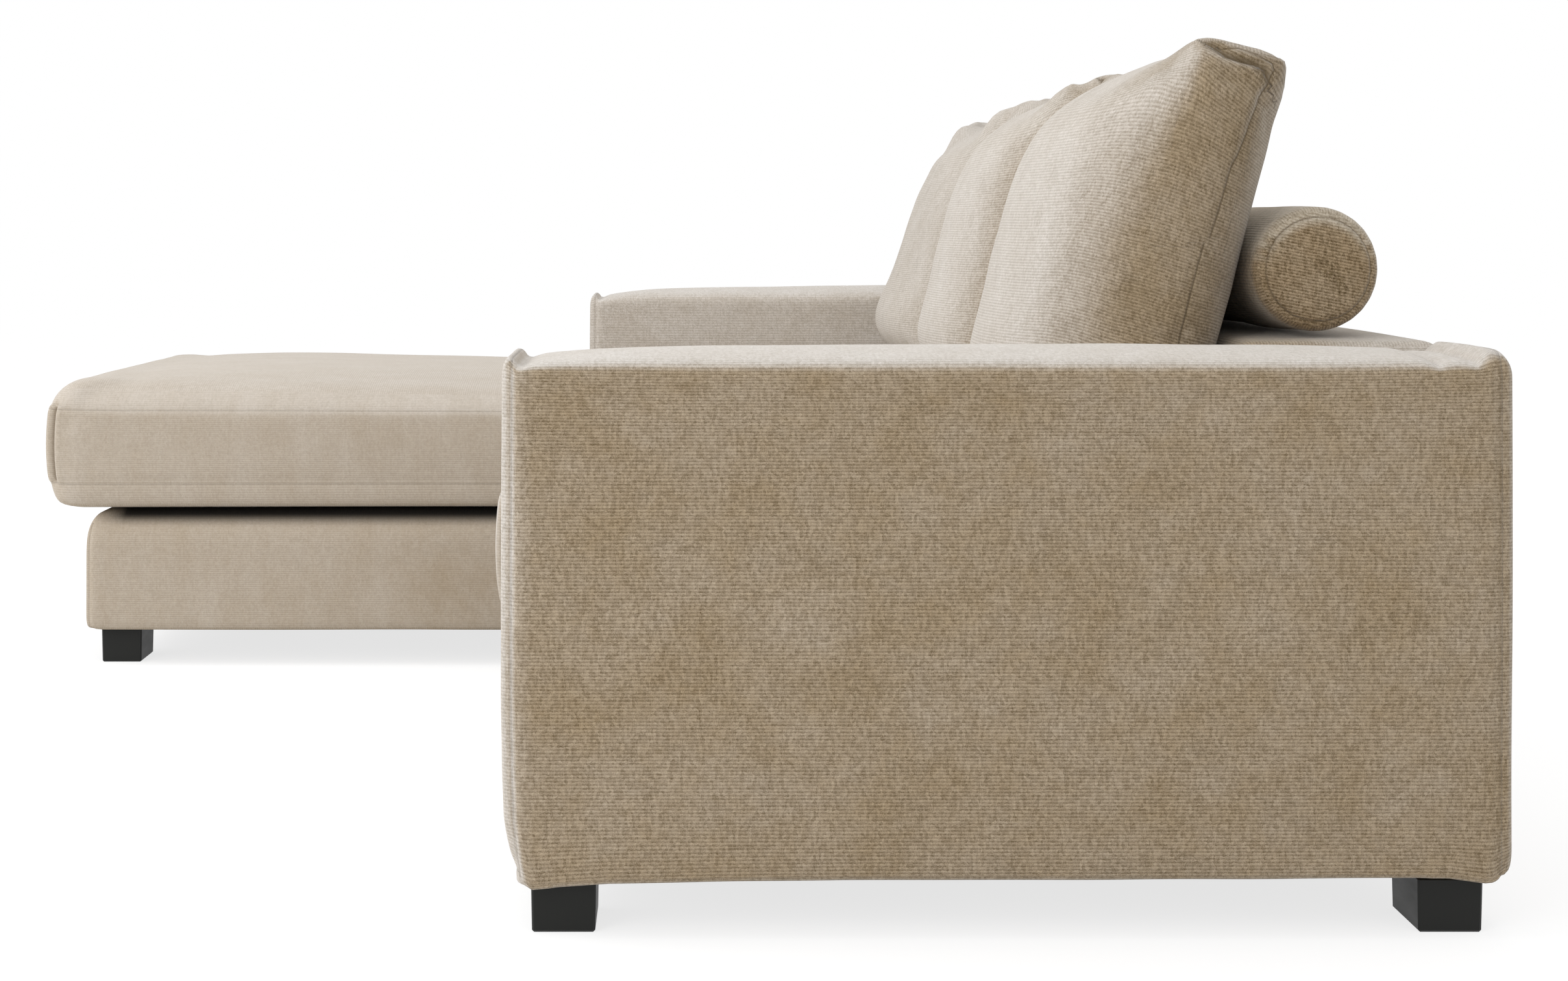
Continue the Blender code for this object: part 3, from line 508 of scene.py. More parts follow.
def pinchSeams(piece, look):
    # A valley a few millimetres deep along each seam
    depth, width = look["seamPinch"]
    distance = np.abs(getField(piece, "seam")).min(axis=1) / 1000
    pushOut(piece, -depth * bell(distance, width))


def pathShare(flat, path):
    # How far along a bent line each place lies, from 0 to 1
    best = np.full(len(flat), 9.0)
    share = np.zeros(len(flat))
    spans = len(path) - 1
    for step, (start, end) in enumerate(zip(path, path[1:])):
        start, way = np.array(start), np.array(end) - np.array(start)
        along = np.clip(((flat - start) @ way) / (way @ way), 0, 1)
        distance = np.linalg.norm(flat - start - along[:, None] * way, axis=1)
        nearer = distance < best
        best = np.where(nearer, distance, best)
        share = np.where(nearer, (step + along) / spans, share)
    return share


def lineField(place, path):
    # Distance to a bent line in the side view, in millimetres, below zero on its one side
    best = np.full(len(place), 9.0)
    flat = place[:, 1:]
    for start, end in zip(path, path[1:]):
        start, way = np.array(start), np.array(end) - np.array(start)
        along = np.clip(((flat - start) @ way) / (way @ way), 0, 1)
        off = flat - start - along[:, None] * way
        distance = np.linalg.norm(off, axis=1) * np.where(off[:, 0] * way[1] - off[:, 1] * way[0] < 0, -1, 1)
        best = np.where(np.abs(distance) < np.abs(best), distance, best)
    return best * 1000


def endFold(piece, end, path, depth, width, reach):
    # A fold across an end of a cushion, drawn in its side view, with a soft lip above it
    place = points(piece)
    away = np.abs(lineField(place, path) / 1000)
    share = pathShare(place[:, 1:], path)
    strength = depth * np.sin(np.pi * np.clip(share, 0.05, 0.95)) ** 0.6 * bell(place[:, 0] - end, reach)
    pushOut(piece, -strength * (bell(away, width) - 0.4 * bell(away - 2.0 * width, 1.2 * width)))


def relax(piece, turns, weights):
    # Eases hard turns, as stuffing does
    addGroup(piece, "eased", weights, -1)
    applyModifier(piece, "SMOOTH", factor=0.5, iterations=turns, vertex_group="eased")
    piece.vertex_groups.clear()


def fitBox(piece, low, high):
    place = points(piece)
    least, most = place.min(axis=0), place.max(axis=0)
    setPoints(piece, np.array(low) + (place - least) / (most - least) * (np.array(high) - np.array(low)))


def tightenUnderside(rest, low, high, look):
    # The lower edge has a smaller round than the upper one
    place, rounding = rest.copy(), look["rounding"]
    low, high = np.array(low), np.array(high)
    centre, core = (low + high) / 2, (high - low) / 2 - rounding
    flat = place[:, :2] - centre[:2]
    kept = np.clip(flat, -core[:2], core[:2])
    out = flat - kept
    reach = np.linalg.norm(out, axis=1)
    lower = (place[:, 2] < low[2] + rounding) & (reach > 1e-6)
    wanted = np.where(lower, rounding - (rounding - reach) * look["underRound"], reach)
    scale = wanted / np.maximum(reach, 1e-6)
    place[:, :2] = centre[:2] + kept + out * scale[:, None]
    return place


def rollTop(place, low, high, rounding, roll):
    # The upper edge has a larger round than the upright ones
    low, high = np.array(low), np.array(high)
    centre, half = (low + high) / 2, (high - low) / 2
    flat = place[:, :2] - centre[:2]
    beyond = np.abs(flat) - (half[:2] - rounding)
    cornered = (beyond > 0).all(axis=1)
    reach = np.linalg.norm(np.clip(beyond, 0, None), axis=1)
    gaps = half[:2] - np.abs(flat)
    nearX = gaps[:, 0] < gaps[:, 1]
    inset = np.where(cornered, rounding - reach, gaps.min(axis=1))
    way = np.stack([np.where(nearX, np.sign(flat[:, 0]), 0), np.where(nearX, 0, np.sign(flat[:, 1]))], axis=1)
    turned = np.clip(beyond, 0, None) / np.maximum(reach, 1e-6)[:, None] * np.sign(flat)
    way = np.where(cornered[:, None], turned, way)
    drop = high[2] - place[:, 2]
    rolled = (inset < roll) & (drop < roll)
    spoke = np.stack([inset - roll, drop - roll], axis=1)
    length = np.maximum(np.linalg.norm(spoke, axis=1), 1e-6)
    newInset = np.where(rolled, roll + spoke[:, 0] / length * roll, inset)
    newDrop = np.where(rolled, roll + spoke[:, 1] / length * roll, drop)
    place[:, :2] -= way * (newInset - inset)[:, None]
    place[:, 2] = high[2] - newDrop
    return place


def setNapAndShade(piece, sides):
    # How light the pile lies on each side, with painted light and shade: each side lighter or darker by which way it
    # faces
    facing = normals(piece)
    turned = np.abs(facing[:, 0]) / np.maximum(np.hypot(facing[:, 0], facing[:, 1]), 1e-6)
    least, most = sides.get("turn", (0.12, 0.78))
    turned = smooth(climb(turned, least, most - least))
    across = turned * np.where(facing[:, 0] > 0, sides["right"], sides["left"])
    across += (1 - turned) * np.where(facing[:, 1] > 0, sides["back"], sides["front"])
    above = smooth(climb(facing[:, 2], sides.get("topFrom", 0.05), 0.45))
    below = climb(-facing[:, 2], 0.3, 0.6)
    setField(piece, "napAndShade", across * (1 - above) * (1 - below) + sides["top"] * above + sides["under"] * below)


def cornerField(place, low, high):
    # Distance to the upright corner lines, in millimetres
    centre = (np.array(low) + np.array(high)) / 2
    half = (np.array(high) - np.array(low)) / 2
    away = np.abs(place - centre) - half
    return np.abs(away[:, 0] - away[:, 1]) / math.sqrt(2) * 1000


def onlyWhere(field, wanted, apart=80.0):
    # Keeps a seam to its own place: elsewhere it counts as that many millimetres farther
    return np.where(wanted, field, field + np.where(field >= 0, apart, -apart))


def hollowCover(piece, low, high, wall, under, over):
    # Cuts the room for the frame, from one height to another, its inside lined with the same cloth
    cutter = addBox((low[0] + wall, low[1] + wall, under), (high[0] - wall, high[1] - wall, over))
    cutter.data.uv_layers[0].name = "weave"
    cutter.data.materials.append(piece.data.materials[0])
    setField(cutter, "seam", np.full((8, 3), 3 * farSeam))
    setField(cutter, "napAndShade", np.full(8, 0.5))
    applyModifier(piece, "BOOLEAN", operation="DIFFERENCE", solver="EXACT", object=cutter)
    bpy.data.objects.remove(cutter)


# Seat cushions: boxed foam with a padded wrap, a seam round the top and one round the underside
seatCushion = {
    "rounding": 0.045,
    "spacing": 0.0115,
    "crown": 0.020,
    "draw": 0.006,
    "nose": 0.012,
    "topSeam": 0.059,  # from the middle of the height
    "underSeam": -0.062,
    "underRound": 0.45,
    "underFlat": 0.20,
    "edgeHang": (0.0065, 0.024),  # depth and width, of the chaise cushion over its base's rounded edge
    "pressure": 4.0,
    "held": (0.010, 0.004),  # at its seams and its underside
    "cap": 0.022,
    "puffShares": (1.0, 0.35, 0.18),
    "waves": ((0.31, 0.0016, 0), (0.12, 0.0006, 3)),  # size, height, and what tells them apart
    "seamPinch": (0.0010, 0.0050),
    "uprightPast": 3,  # mm by which the upright seams run past the others
    "cornerFiner": 26,  # mm from the upright seams
    "cornerFold": (0.0080, 0.0060),
    # How far the top of the chaise cushion sinks, by its place from front to back
    "chaiseTop": ((-0.885, 0.004), (-0.80, 0.001), (-0.762, -0.004), (-0.72, -0.003), (-0.62, -0.004),
                  (-0.50, -0.007), (-0.365, -0.012), (-0.20, -0.016), (0.10, -0.014), (0.42, 0.0), (0.70, 0.0)),
    # How light the pile lies on each side, with painted light and shade
    "napAndShade": {"right": 0.43, "left": 0.43, "back": 0.5, "top": 0.64, "under": 0.35},
    "frontNapAndShade": {"seat_cushion_right": 0.80, "seat_cushion_middle": 0.68, "seat_cushion_chaise": 0.51},
    "fill": 0.85,
}


def makeSeatCushion(node, seed):
    look = seatCushion
    chaise = node == "seat_cushion_chaise"
    low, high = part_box(node)
    piece, rest, share = startPiece(node, look, low, high)
    centre = (np.array(low) + np.array(high)) / 2
    height = rest[:, 2] - centre[2]
    topField = (height - look["topSeam"]) * 1000
    underField = (height - look["underSeam"]) * 1000
    between = (topField < look["uprightPast"]) & (underField > -look["uprightPast"])
    # Its third distance, to the upright corners, also darkens the cloth there with painted crease shade
    setSeams(piece, topField, underField, onlyWhere(cornerField(rest, low, high), between))
    crown = (1 - share[:, 0] ** 2) * (1 - share[:, 1] ** 4)
    form = tightenUnderside(rest, low, high, look)
    form[:, 2] += look["crown"] * crown * (share[:, 2] + 1) / 2
    form[:, 0] -= look["draw"] * share[:, 0] * (1 - share[:, 1] ** 2)
    form[:, 1] -= look["nose"] * np.clip(-share[:, 1], 0, 1) * (1 - share[:, 2] ** 2)
    setPoints(piece, form)
    fitBox(piece, low, high)
    puff(piece, np.abs(getField(piece, "seam")).min(axis=1), rest[:, 2] - low[2], look)
    pushOut(piece, waves(piece, look, seed) * np.clip(share[:, 2] + 0.6, 0, 1))
    place = points(piece)
    if chaise:
        place[:, 2] += readCurve(look["chaiseTop"], place[:, 1]) * np.clip(share[:, 2], 0, 1) ** 3
    # The underside stays flat nearly to its edge
    lower = (place[:, 2] - low[2]) / look["rounding"]
    flatter = (lower - (1 - look["underFlat"]) * lower * (1 - lower) ** 2) * look["rounding"] + low[2]
    place[:, 2] = np.where((lower > 0) & (lower < 1), flatter, place[:, 2])
    place[:, 0] = np.clip(place[:, 0], low[0], high[0])
    place[:, 1] = np.minimum(place[:, 1], high[1])
    place[:, 2] = np.maximum(place[:, 2], low[2])
    if chaise:
        depth, width = look["edgeHang"]
        inset = (high[0] - low[0]) / 2 - np.abs(place[:, 0] - centre[0])
        place[:, 2] -= depth * bell(inset, width) * np.clip(1 - lower, 0, 1)
    setPoints(piece, place)
    subdivideWhere(piece, (np.abs(getField(piece, "seam")[:, 2]) < look["cornerFiner"]) & (place[:, 1] < 0))
    refine(piece)
    pinchSeams(piece, look)
    depth, width = look["cornerFold"]
    upright = np.abs(getField(piece, "seam")[:, 2]) / 1000
    fold = depth * (bell(upright, width) - 0.5 * bell(upright - 2 * width, width))
    pushOut(piece, -fold * (points(piece)[:, 1] < 0))
    setNapAndShade(piece, dict(look["napAndShade"], front=look["frontNapAndShade"][node]))
    finishPiece(piece, node, node, seatFabric)


for seed, node in enumerate(("seat_cushion_right", "seat_cushion_middle", "seat_cushion_chaise")):
    makeSeatCushion(node, seed + 1)
print("stage: seat cushions made")


# Back cushions: fibre filled pillows whose front wraps round both ends to a seam near the rear
backCushion = {
    "rounding": 0.055,
    "core": 0.178,
    "spacing": 0.0105,
    "roundness": 0.85,  # of its front, seen from above: 0 is a box, 1 a circle
    "cornerPower": 6,
    "topFall": 0.048,
    "sideDraw": 0.014,
    "bulge": 0.024,
    "crest": 0.046,
    "crestPlace": -0.10,
    "lean": 0.215,
    "slant": 0.27,  # its ribs run square to its lean
    "seam": 0.046,  # behind the middle of the thickness
    "seamRise": 0.018,
    "ease": 24,
    "ear": 0.020,
    "earWidth": 0.10,
    # Side view of its front at the middle of its width: height above its underside, depth behind its box's front
    "frontLine": (
        (0.0, 0.030), (0.03, -0.006), (0.06, -0.013), (0.083, -0.012), (0.142, 0.013), (0.225, 0.039),
        (0.280, 0.058), (0.336, 0.085), (0.363, 0.107), (0.391, 0.141), (0.400, 0.167)),
    # How far the two seat cushions' pillows stand out before that line, by height
    "fuller": ((0.09, 0.0), (0.18, 0.012), (0.265, 0.018), (0.345, 0.020), (0.385, 0.008), (0.41, 0.0)),
    # How far the top of the ends rises, by its distance behind the box's front
    "endTop": {
        "back_cushion_right": (
            (0.12, 0.0), (0.14, 0.004), (0.155, 0.005), (0.17, 0.0), (0.193, 0.001), (0.207, -0.005),
            (0.22, -0.0087), (0.233, -0.0105), (0.246, -0.0110), (0.26, -0.007), (0.28, -0.002)),
        "back_cushion_middle": (
            (0.10, 0.0), (0.125, 0.005), (0.143, 0.022), (0.162, 0.024), (0.18, 0.004), (0.207, -0.003), (0.26, 0.0)),
        "back_cushion_chaise": (
            (0.105, 0.0), (0.125, 0.009), (0.143, 0.029), (0.163, 0.027), (0.184, 0.011), (0.207, 0.0), (0.26, 0.0)),
    },
    "farEndTop": ((0.185, 0.0), (0.20, -0.007), (0.23, -0.009), (0.27, 0.0)),  # of the cushion by the near arm
    "sag": 0.003,
    "rearEar": 0.010,  # how far its upper rear corners stand out
    "upperBand": (-0.09, 0.05),  # from where its top counts, under the box's top, and the height that this takes
    "rearBand": (-0.095, 0.05),
    "endBand": (0.55, 0.25),  # from where its ends count, in shares of half its width
    "finer": (0.86, 0.62),  # shares of half the width and of the height
    "endSeam": (0.022, 0.20),  # the turned seam's place: in from the ends, and above the underside
    # In its side view, behind its box's front and above its underside: the seam's turn over the top of its ends,
    # and the folds there
    "seamTurn": (
        (0.211, 0.402), (0.230, 0.401), (0.251, 0.393), (0.264, 0.385), (0.267, 0.378), (0.264, 0.374),
        (0.262, 0.368), (0.254, 0.353), (0.247, 0.337), (0.239, 0.315), (0.228, 0.289), (0.218, 0.268),
        (0.208, 0.231), (0.196, 0.194)),
    "folds": (
        (((0.198, 0.407), (0.207, 0.401), (0.215, 0.394), (0.228, 0.389), (0.243, 0.385), (0.253, 0.380),
          (0.257, 0.371)), 0.0060, 0.0045),
        (((0.196, 0.373), (0.213, 0.371), (0.231, 0.364), (0.250, 0.353)), 0.0028, 0.0080),
        (((0.190, 0.300), (0.215, 0.285), (0.228, 0.270)), 0.0015, 0.0100),
        (((0.150, 0.085), (0.170, 0.110), (0.190, 0.120)), 0.0020, 0.0070),
    ),
    "foldReach": 0.030,  # how far in from the ends
    "foldSeamReach": 0.045,
    "endPast": 0.004,  # how far its ends may stand out past its box
    "pressure": 4.0,
    "held": (0.009, 0.006),  # at its seam and its underside
    "cap": 0.022,
    "puffShares": (1, 1, 1),
    "waves": ((0.24, 0.0028, 0), (0.09, 0.0009, 5)),
    "seamPinch": (0.0030, 0.0050),
    # How light the pile lies on each side, with painted light and shade
    "napAndShade": {"left": 0.30, "back": 0.22, "under": 0.3, "topFrom": 0.28},
    "endNapAndShade": {"back_cushion_right": 0.03, "back_cushion_middle": 0.18, "back_cushion_chaise": 0.42},
    "topEndNapAndShade": {"back_cushion_right": 0.29, "back_cushion_middle": 0.46, "back_cushion_chaise": 0.68},
    "topNapAndShade": 0.72,
    "topNapAndShadeBand": (0.07, 0.17),  # from its ends, between the one and the other
    "frontNapAndShade": {"back_cushion_right": 0.84, "back_cushion_middle": 0.86, "back_cushion_chaise": 0.73},
    "napAndShadeTurn": {
        "back_cushion_right": (0.34, 0.90), "back_cushion_middle": (0.15, 0.78), "back_cushion_chaise": (0.15, 0.78)},
    "behindSeam": 0.05,  # the nap and painted shade of its rear strip
    "fill": 0.6,
}


def fitFront(piece, share, low):
    # Brings the middle of the front onto its side view
    place = points(piece)
    above = place[:, 2] - low[2]
    strip = (np.abs(share[:, 0]) < 0.2) & (share[:, 1] < 0)
    levels = np.linspace(0.0, 0.40, 33)
    now = np.array([place[strip & (np.abs(above - level) < 0.012), 1].min() for level in levels])
    shift = readCurve(backCushion["frontLine"], levels) + low[1] - now
    for turn in range(3):
        shift[1:-1] = (shift[:-2] + 2 * shift[1:-1] + shift[2:]) / 4
    if "chaise" not in piece.name:
        shift -= readCurve(backCushion["fuller"], levels)
    weight = np.clip(-share[:, 1] * 1.6, 0, 1) * (1 - share[:, 0] ** 4)
    place[:, 1] += np.interp(above, levels, shift) * weight
    setPoints(piece, place)


def roundFront(place, low, high, seamY, roundness):
    # Turns the front of a block back towards its ends, as the half of an oval
    middle, half = (low[0] + high[0]) / 2, (high[0] - low[0]) / 2
    depth = seamY - low[1]
    ahead = np.clip((seamY - place[:, 1]) / depth, 0, 1)
    aside = np.abs(place[:, 0] - middle) / half
    newY = seamY - depth * ahead * np.sqrt(1 - roundness * aside ** 2 / 2)
    place[:, 1] = np.where(ahead > 0, newY, place[:, 1])
    place[:, 0] = middle + (place[:, 0] - middle) * np.sqrt(1 - roundness * ahead ** 2 / 2)
    return place


def squareCorner(place, high, rounding, power):
    # Sharpens the upper rear edge
    centreY, centreZ = high[1] - rounding, high[2] - rounding
    spoke = np.stack([place[:, 1] - centreY, place[:, 2] - centreZ], axis=1)
    corner = (spoke > 0).all(axis=1)
    length = np.maximum(np.linalg.norm(spoke, axis=1), 1e-6)
    way = np.abs(spoke) / length[:, None]
    longer = 1 / np.maximum((way ** power).sum(axis=1), 1e-6) ** (1 / power)
    scale = np.where(corner, longer, 1)
    place[:, 1] = np.where(corner, centreY + spoke[:, 0] * scale, place[:, 1])
    place[:, 2] = np.where(corner, centreZ + spoke[:, 1] * scale, place[:, 2])
    return place


def makeBackCushion(node, seed):
    look = backCushion
    chaise = node == "back_cushion_chaise"
    low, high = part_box(node)
    middleY = (low[1] + high[1]) / 2
    half = np.array([(high[0] - low[0]) / 2, look["core"] / 2, (high[2] - low[2]) / 2])
    coreLow = (low[0], middleY - half[1], low[2])
    coreHigh = (high[0], middleY + half[1], high[2])
    piece, rest, share = startPiece(node, look, coreLow, coreHigh, slant=look["slant"])
    height = (share[:, 2] + 1) / 2
    seamField = (rest[:, 1] - middleY - look["seam"] - look["seamRise"] * height ** 4) * 1000
    setSeams(piece, seamField)
    front = np.clip(-share[:, 1], 0, 1)
    form = squareCorner(rest.copy(), coreHigh, look["rounding"], look["cornerPower"])
    form = roundFront(form, coreLow, coreHigh, middleY + look["seam"], look["roundness"])
    form[:, 1] += front * look["topFall"] * height ** 5
    form[:, 1] -= front * look["bulge"] * (1 - share[:, 0] ** 4) * (1 - share[:, 2] ** 2)
    form[:, 0] -= look["sideDraw"] * share[:, 0] * (1 - share[:, 2] ** 2) * (1 - share[:, 1] ** 2)
    crest = 1 - ((share[:, 1] - look["crestPlace"]) / (1 - look["crestPlace"])) ** 2
    form[:, 2] += look["crest"] * height ** 4 * crest * (0.3 + 0.7 * share[:, 0] ** 4)
    form[:, 1] += look["lean"] * (form[:, 2] - low[2])
    setPoints(piece, form)
    relax(piece, look["ease"], climb(-share[:, 1], -0.5, 0.8))
    fitBox(piece, low, high)
    puff(piece, np.abs(seamField), rest[:, 2] - low[2], look)
    fitBox(piece, low, high)
    fitFront(piece, share, low)
    place = points(piece)
    ends = np.abs(share[:, 0])
    peaks = bell(1 - ends, look["earWidth"]) * np.clip(height, 0, 1) ** 8 * bell(share[:, 1] - 0.05, 0.75)
    place[:, 2] += look["ear"] * peaks
    upper = climb(place[:, 2] - high[2], *look["upperBand"])
    nearEnds = climb(ends, *look["endBand"])
    place[:, 2] += readCurve(look["endTop"][node], place[:, 1] - low[1]) * upper * nearEnds
    if node == "back_cushion_right":
        farEnd = climb(-share[:, 0], *look["endBand"])
        place[:, 2] += readCurve(look["farEndTop"], place[:, 1] - low[1]) * upper * farEnd
    place[:, 2] -= look["sag"] * (1 - ends ** 4) * upper
    setPoints(piece, place)
    pushOut(piece, waves(piece, look, seed) * np.clip(height * 3, 0, 1))
    place = points(piece)
    place[:, 0] = np.clip(place[:, 0], low[0] - look["endPast"], high[0] + look["endPast"])
    place[:, 1] = np.minimum(place[:, 1], high[1])
    rear = climb(share[:, 1], 0.1, 0.6) * climb(place[:, 2] - high[2], *look["rearBand"])
    place[:, 1] += look["rearEar"] * rear * nearEnds
    place[:, 2] = np.maximum(place[:, 2], low[2])
    setPoints(piece, place)
    subdivideWhere(piece, (ends > look["finer"][0]) & (height > look["finer"][1]))
    refine(piece)
    corner = np.array([low[1], low[2]])
    seam = getField(piece, "seam")
    behind = np.clip(seam[:, 0] / 6, 0, 1)
    for end in (low[0], high[0]):
        place = points(piece)
        nearEnd = (np.abs(place[:, 0] - end) < look["endSeam"][0]) & (place[:, 2] > low[2] + look["endSeam"][1])
        turned = lineField(place, [corner + step for step in look["seamTurn"]])
        behind = np.where(nearEnd, np.clip(-turned / 6, 0, 1), behind)
        seam[:, 0] = np.where(nearEnd, farSeam, seam[:, 0])
        seam[:, 1] = np.where(nearEnd, turned, seam[:, 1])
        # Painted shade: the top fold's line, as the third distance, darkens the cloth beside it
        topFold = lineField(place, [corner + step for step in look["folds"][0][0]])
        folded = (np.abs(place[:, 0] - end) < look["foldSeamReach"]) & (not chaise)
        seam[:, 2] = np.where(folded, topFold, seam[:, 2])
        setField(piece, "seam", seam)
    pinchSeams(piece, look)
    for path, depth, width in look["folds"][1 if chaise else 0:]:
        for end in (low[0], high[0]):
            endFold(piece, end, [corner + step for step in path], depth, width, look["foldReach"])
    fromEnd = (high[0] - low[0]) / 2 - np.abs(points(piece)[:, 0] - (low[0] + high[0]) / 2)
    topNapAndShade = np.interp(fromEnd, look["topNapAndShadeBand"], (look["topEndNapAndShade"][node], look["topNapAndShade"]))
    ownNapAndShade = {"turn": look["napAndShadeTurn"][node], "front": look["frontNapAndShade"][node], "right": look["endNapAndShade"][node]}
    setNapAndShade(piece, dict(look["napAndShade"], top=topNapAndShade, **ownNapAndShade))
    napAndShade = getField(piece, "napAndShade")
    setField(piece, "napAndShade", napAndShade + np.clip(look["behindSeam"] - napAndShade, 0, 1) * behind)
    finishPiece(piece, node, node, pillowFabric)


for seed, node in enumerate(("back_cushion_right", "back_cushion_middle", "back_cushion_chaise")):
    makeBackCushion(node, seed + 11)
print("stage: back cushions made")


# Bolsters: rolls with a round end panel, sewn in with a turned seam
bolster = {
    "sides": 112,
    "spacing": 0.0055,
    "endRound": 0.018,
    "ring": 0.85,  # its seam's place on the end, as a share of the radius
    "endDome": 0.004,
    "gathers": (0.0006, 27),  # height and number
    "slant": 0.2,
    "swell": 0.002,
    "waves": ((0.14, 0.0014, 0),),
    "seamPinch": (0.0022, 0.0035),
    # How light the pile lies on each side, with painted light and shade; its front is darkest, painted shade beside
    # the back cushion
    "napAndShade": {"right": 0.10, "left": 0.10, "front": 0.0, "back": 0.40, "top": 0.6, "under": 0.0},
    "fill": 0.8,
}


def makeBolster(node, seed):
    look = bolster
    low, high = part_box(node)
    radius = (high[1] - low[1]) / 2
    length = high[0] - low[0]
    centre = np.array([(low[i] + high[i]) / 2 for i in range(3)])
    deselectAll()
    bpy.ops.mesh.primitive_cylinder_add(
        vertices=look["sides"], radius=radius, depth=length, location=centre, rotation=(0, math.radians(90), 0))
    piece = bpy.context.object
    piece.name = node + "_soft"
    bpy.ops.object.transform_apply(location=True, rotation=True, scale=True)
    bpy.ops.object.mode_set(mode="EDIT")
    selectParts(piece, "edges", lambda edge: abs(edge.verts[0].co.x - edge.verts[1].co.x) < 0.001)
    bpy.ops.mesh.bevel(offset=look["endRound"], segments=6, affect="EDGES")
    selectParts(piece, "edges", lambda edge: abs(edge.verts[0].co.x - edge.verts[1].co.x) > 0.5 * length)
    bpy.ops.mesh.subdivide(number_cuts=round(length / look["spacing"]))
    selectParts(piece, "faces", lambda face: len(face.verts) > 4)
    for thickness in (0.004,) + (look["spacing"],) * 7:
        bpy.ops.mesh.inset(thickness=thickness)
    bpy.ops.mesh.poke()
    bpy.ops.object.mode_set(mode="OBJECT")
    place = points(piece)
    away = place - centre
    across = np.hypot(away[:, 1], away[:, 2])
    along = away[:, 0] / (length / 2)
    angle = np.arctan2(away[:, 2], away[:, 1])
    end = np.abs(along) > 0.9
    setSeams(piece, np.where(end, (across - look["ring"] * radius) * 1000, farSeam))
    # The weave runs round the roll, and lies flat on its ends
    vertices, facing, middles = faceLoops(piece)
    rolled = np.stack([away[:, 0], angle * radius], axis=1)[vertices]
    pastSeam = (middles[:, 2] < centre[2]) & (rolled[:, 1] > 3.1 * radius)
    rolled[:, 1] -= np.where(pastSeam, 2 * math.pi * radius, 0)
    flat = (away[:, [1, 2]] + away[:, [1, 1]] * (0, look["slant"]))[vertices]
    onEnd = np.abs(facing[:, 0]) > 0.7
    layers = piece.data.uv_layers
    layer = layers[0] if layers else layers.new(name="weave")
    layer.name = "weave"
    layer.data.foreach_set("uv", np.where(onEnd[:, None], flat, rolled).astype(np.float32).ravel())
    scale = 1 - look["swell"] / radius * along ** 2
    place[:, 1:] = centre[1:] + away[:, 1:] * scale[:, None]
    place[:, 0] += np.where(end, np.sign(along) * look["endDome"] * (1 - (across / radius) ** 2), 0)
    setPoints(piece, place)
    depth, count = look["gathers"]
    gathers = depth * np.sin(angle * count + seed) * bell((across - look["ring"] * radius - 0.004), 0.004) * end
    pushOut(piece, waves(piece, look, seed) + gathers)
    place = points(piece)
    place[:, 2] = np.maximum(place[:, 2], low[2])
    setPoints(piece, place)
    pinchSeams(piece, look)
    setNapAndShade(piece, look["napAndShade"])
    finishPiece(piece, node, node, bolsterFabric)


for seed, node in enumerate(("bolster_right", "bolster_middle", "bolster_chaise")):
    makeBolster(node, seed + 21)
print("stage: bolsters made")


# Arms: a thin padded wrap over the frame, with a front panel and raised seams across both ends of the top
arm = {
    "rounding": 0.020,
    "underRound": 0.25,
    "spacing": 0.0125,
    "crown": 0.013,
    "wall": 0.020,
    "topPad": 0.030,
    "topSag": {"arm_cover_right": 0.0045, "arm_cover_left": -0.004},  # of the middle of its length
    # How far the front panel stands out, by height
    "frontBulge": ((0.05, -0.018), (0.06, -0.012), (0.075, -0.007), (0.09, -0.004), (0.11, -0.001), (0.15, 0.001),
                   (0.22, 0.003), (0.56, 0.002)),
    "frontSeam": 0.008,
    "backSeam": 0.016,
    # How far its top stands up beside both seams: distance from the end, height
    "frontEar": ((0.0, 0.006), (0.0025, 0.0088), (0.0045, 0.0090), (0.007, 0.0076), (0.0095, 0.0048), (0.0115, 0.0013),
                 (0.013, -0.0020), (0.0145, -0.0052), (0.017, -0.0076), (0.0205, -0.0080), (0.025, -0.0060),
                 (0.033, -0.0035), (0.045, -0.0023), (0.067, -0.001), (0.10, 0.0)),
    "backEar": ((0.0, 0.002), (0.005, 0.006), (0.0127, 0.0095), (0.023, 0.0087), (0.030, 0.003), (0.036, -0.0045),
                (0.042, -0.0035), (0.048, -0.0015), (0.060, -0.0015), (0.068, -0.004), (0.073, -0.007),
                (0.079, -0.003), (0.086, 0.0)),
    "earBand": (-0.060, 0.045),  # from where the top counts, and the height that this takes
    # How far its outer lower edge hangs down, from front to back
    "hang": ((-0.071, -0.008), (-0.066, -0.004), (-0.060, 0.006), (-0.054, 0.007), (-0.047, 0.010), (0.03, 0.005),
             (0.25, 0.001), (0.60, 0.0), (0.82, 0.0), (0.855, 0.005), (0.864, 0.004), (0.873, -0.004),
             (0.885, -0.010)),
    "hangBand": (1.20, 0.03, 0.05),  # from the middle of the sofa, how wide and how high
    # How light the pile lies on each side, with painted light and shade
    "napAndShade": {"right": 0.10, "left": 0.10, "front": 0.78, "back": 0.30, "top": 0.93, "under": 0.3,
            "turn": (0.68, 0.93), "topFrom": 0.47},
    "strokedAndLit": (0.30, 0.030),  # how much lighter the sides are beside the front panel, by pile and by painted light round the corner, and how far
    "sideSeams": (0.0018, 9),  # depth in metres and width in millimetres of the seams' valleys down the sides
    "finer": (0.052, 0.095),  # from the front and the back end
    "waves": ((0.42, 0.0020, 0), (0.13, 0.0006, 4)),
    "seamPinch": (0.0012, 0.0040),
    "fill": 0.9,
}
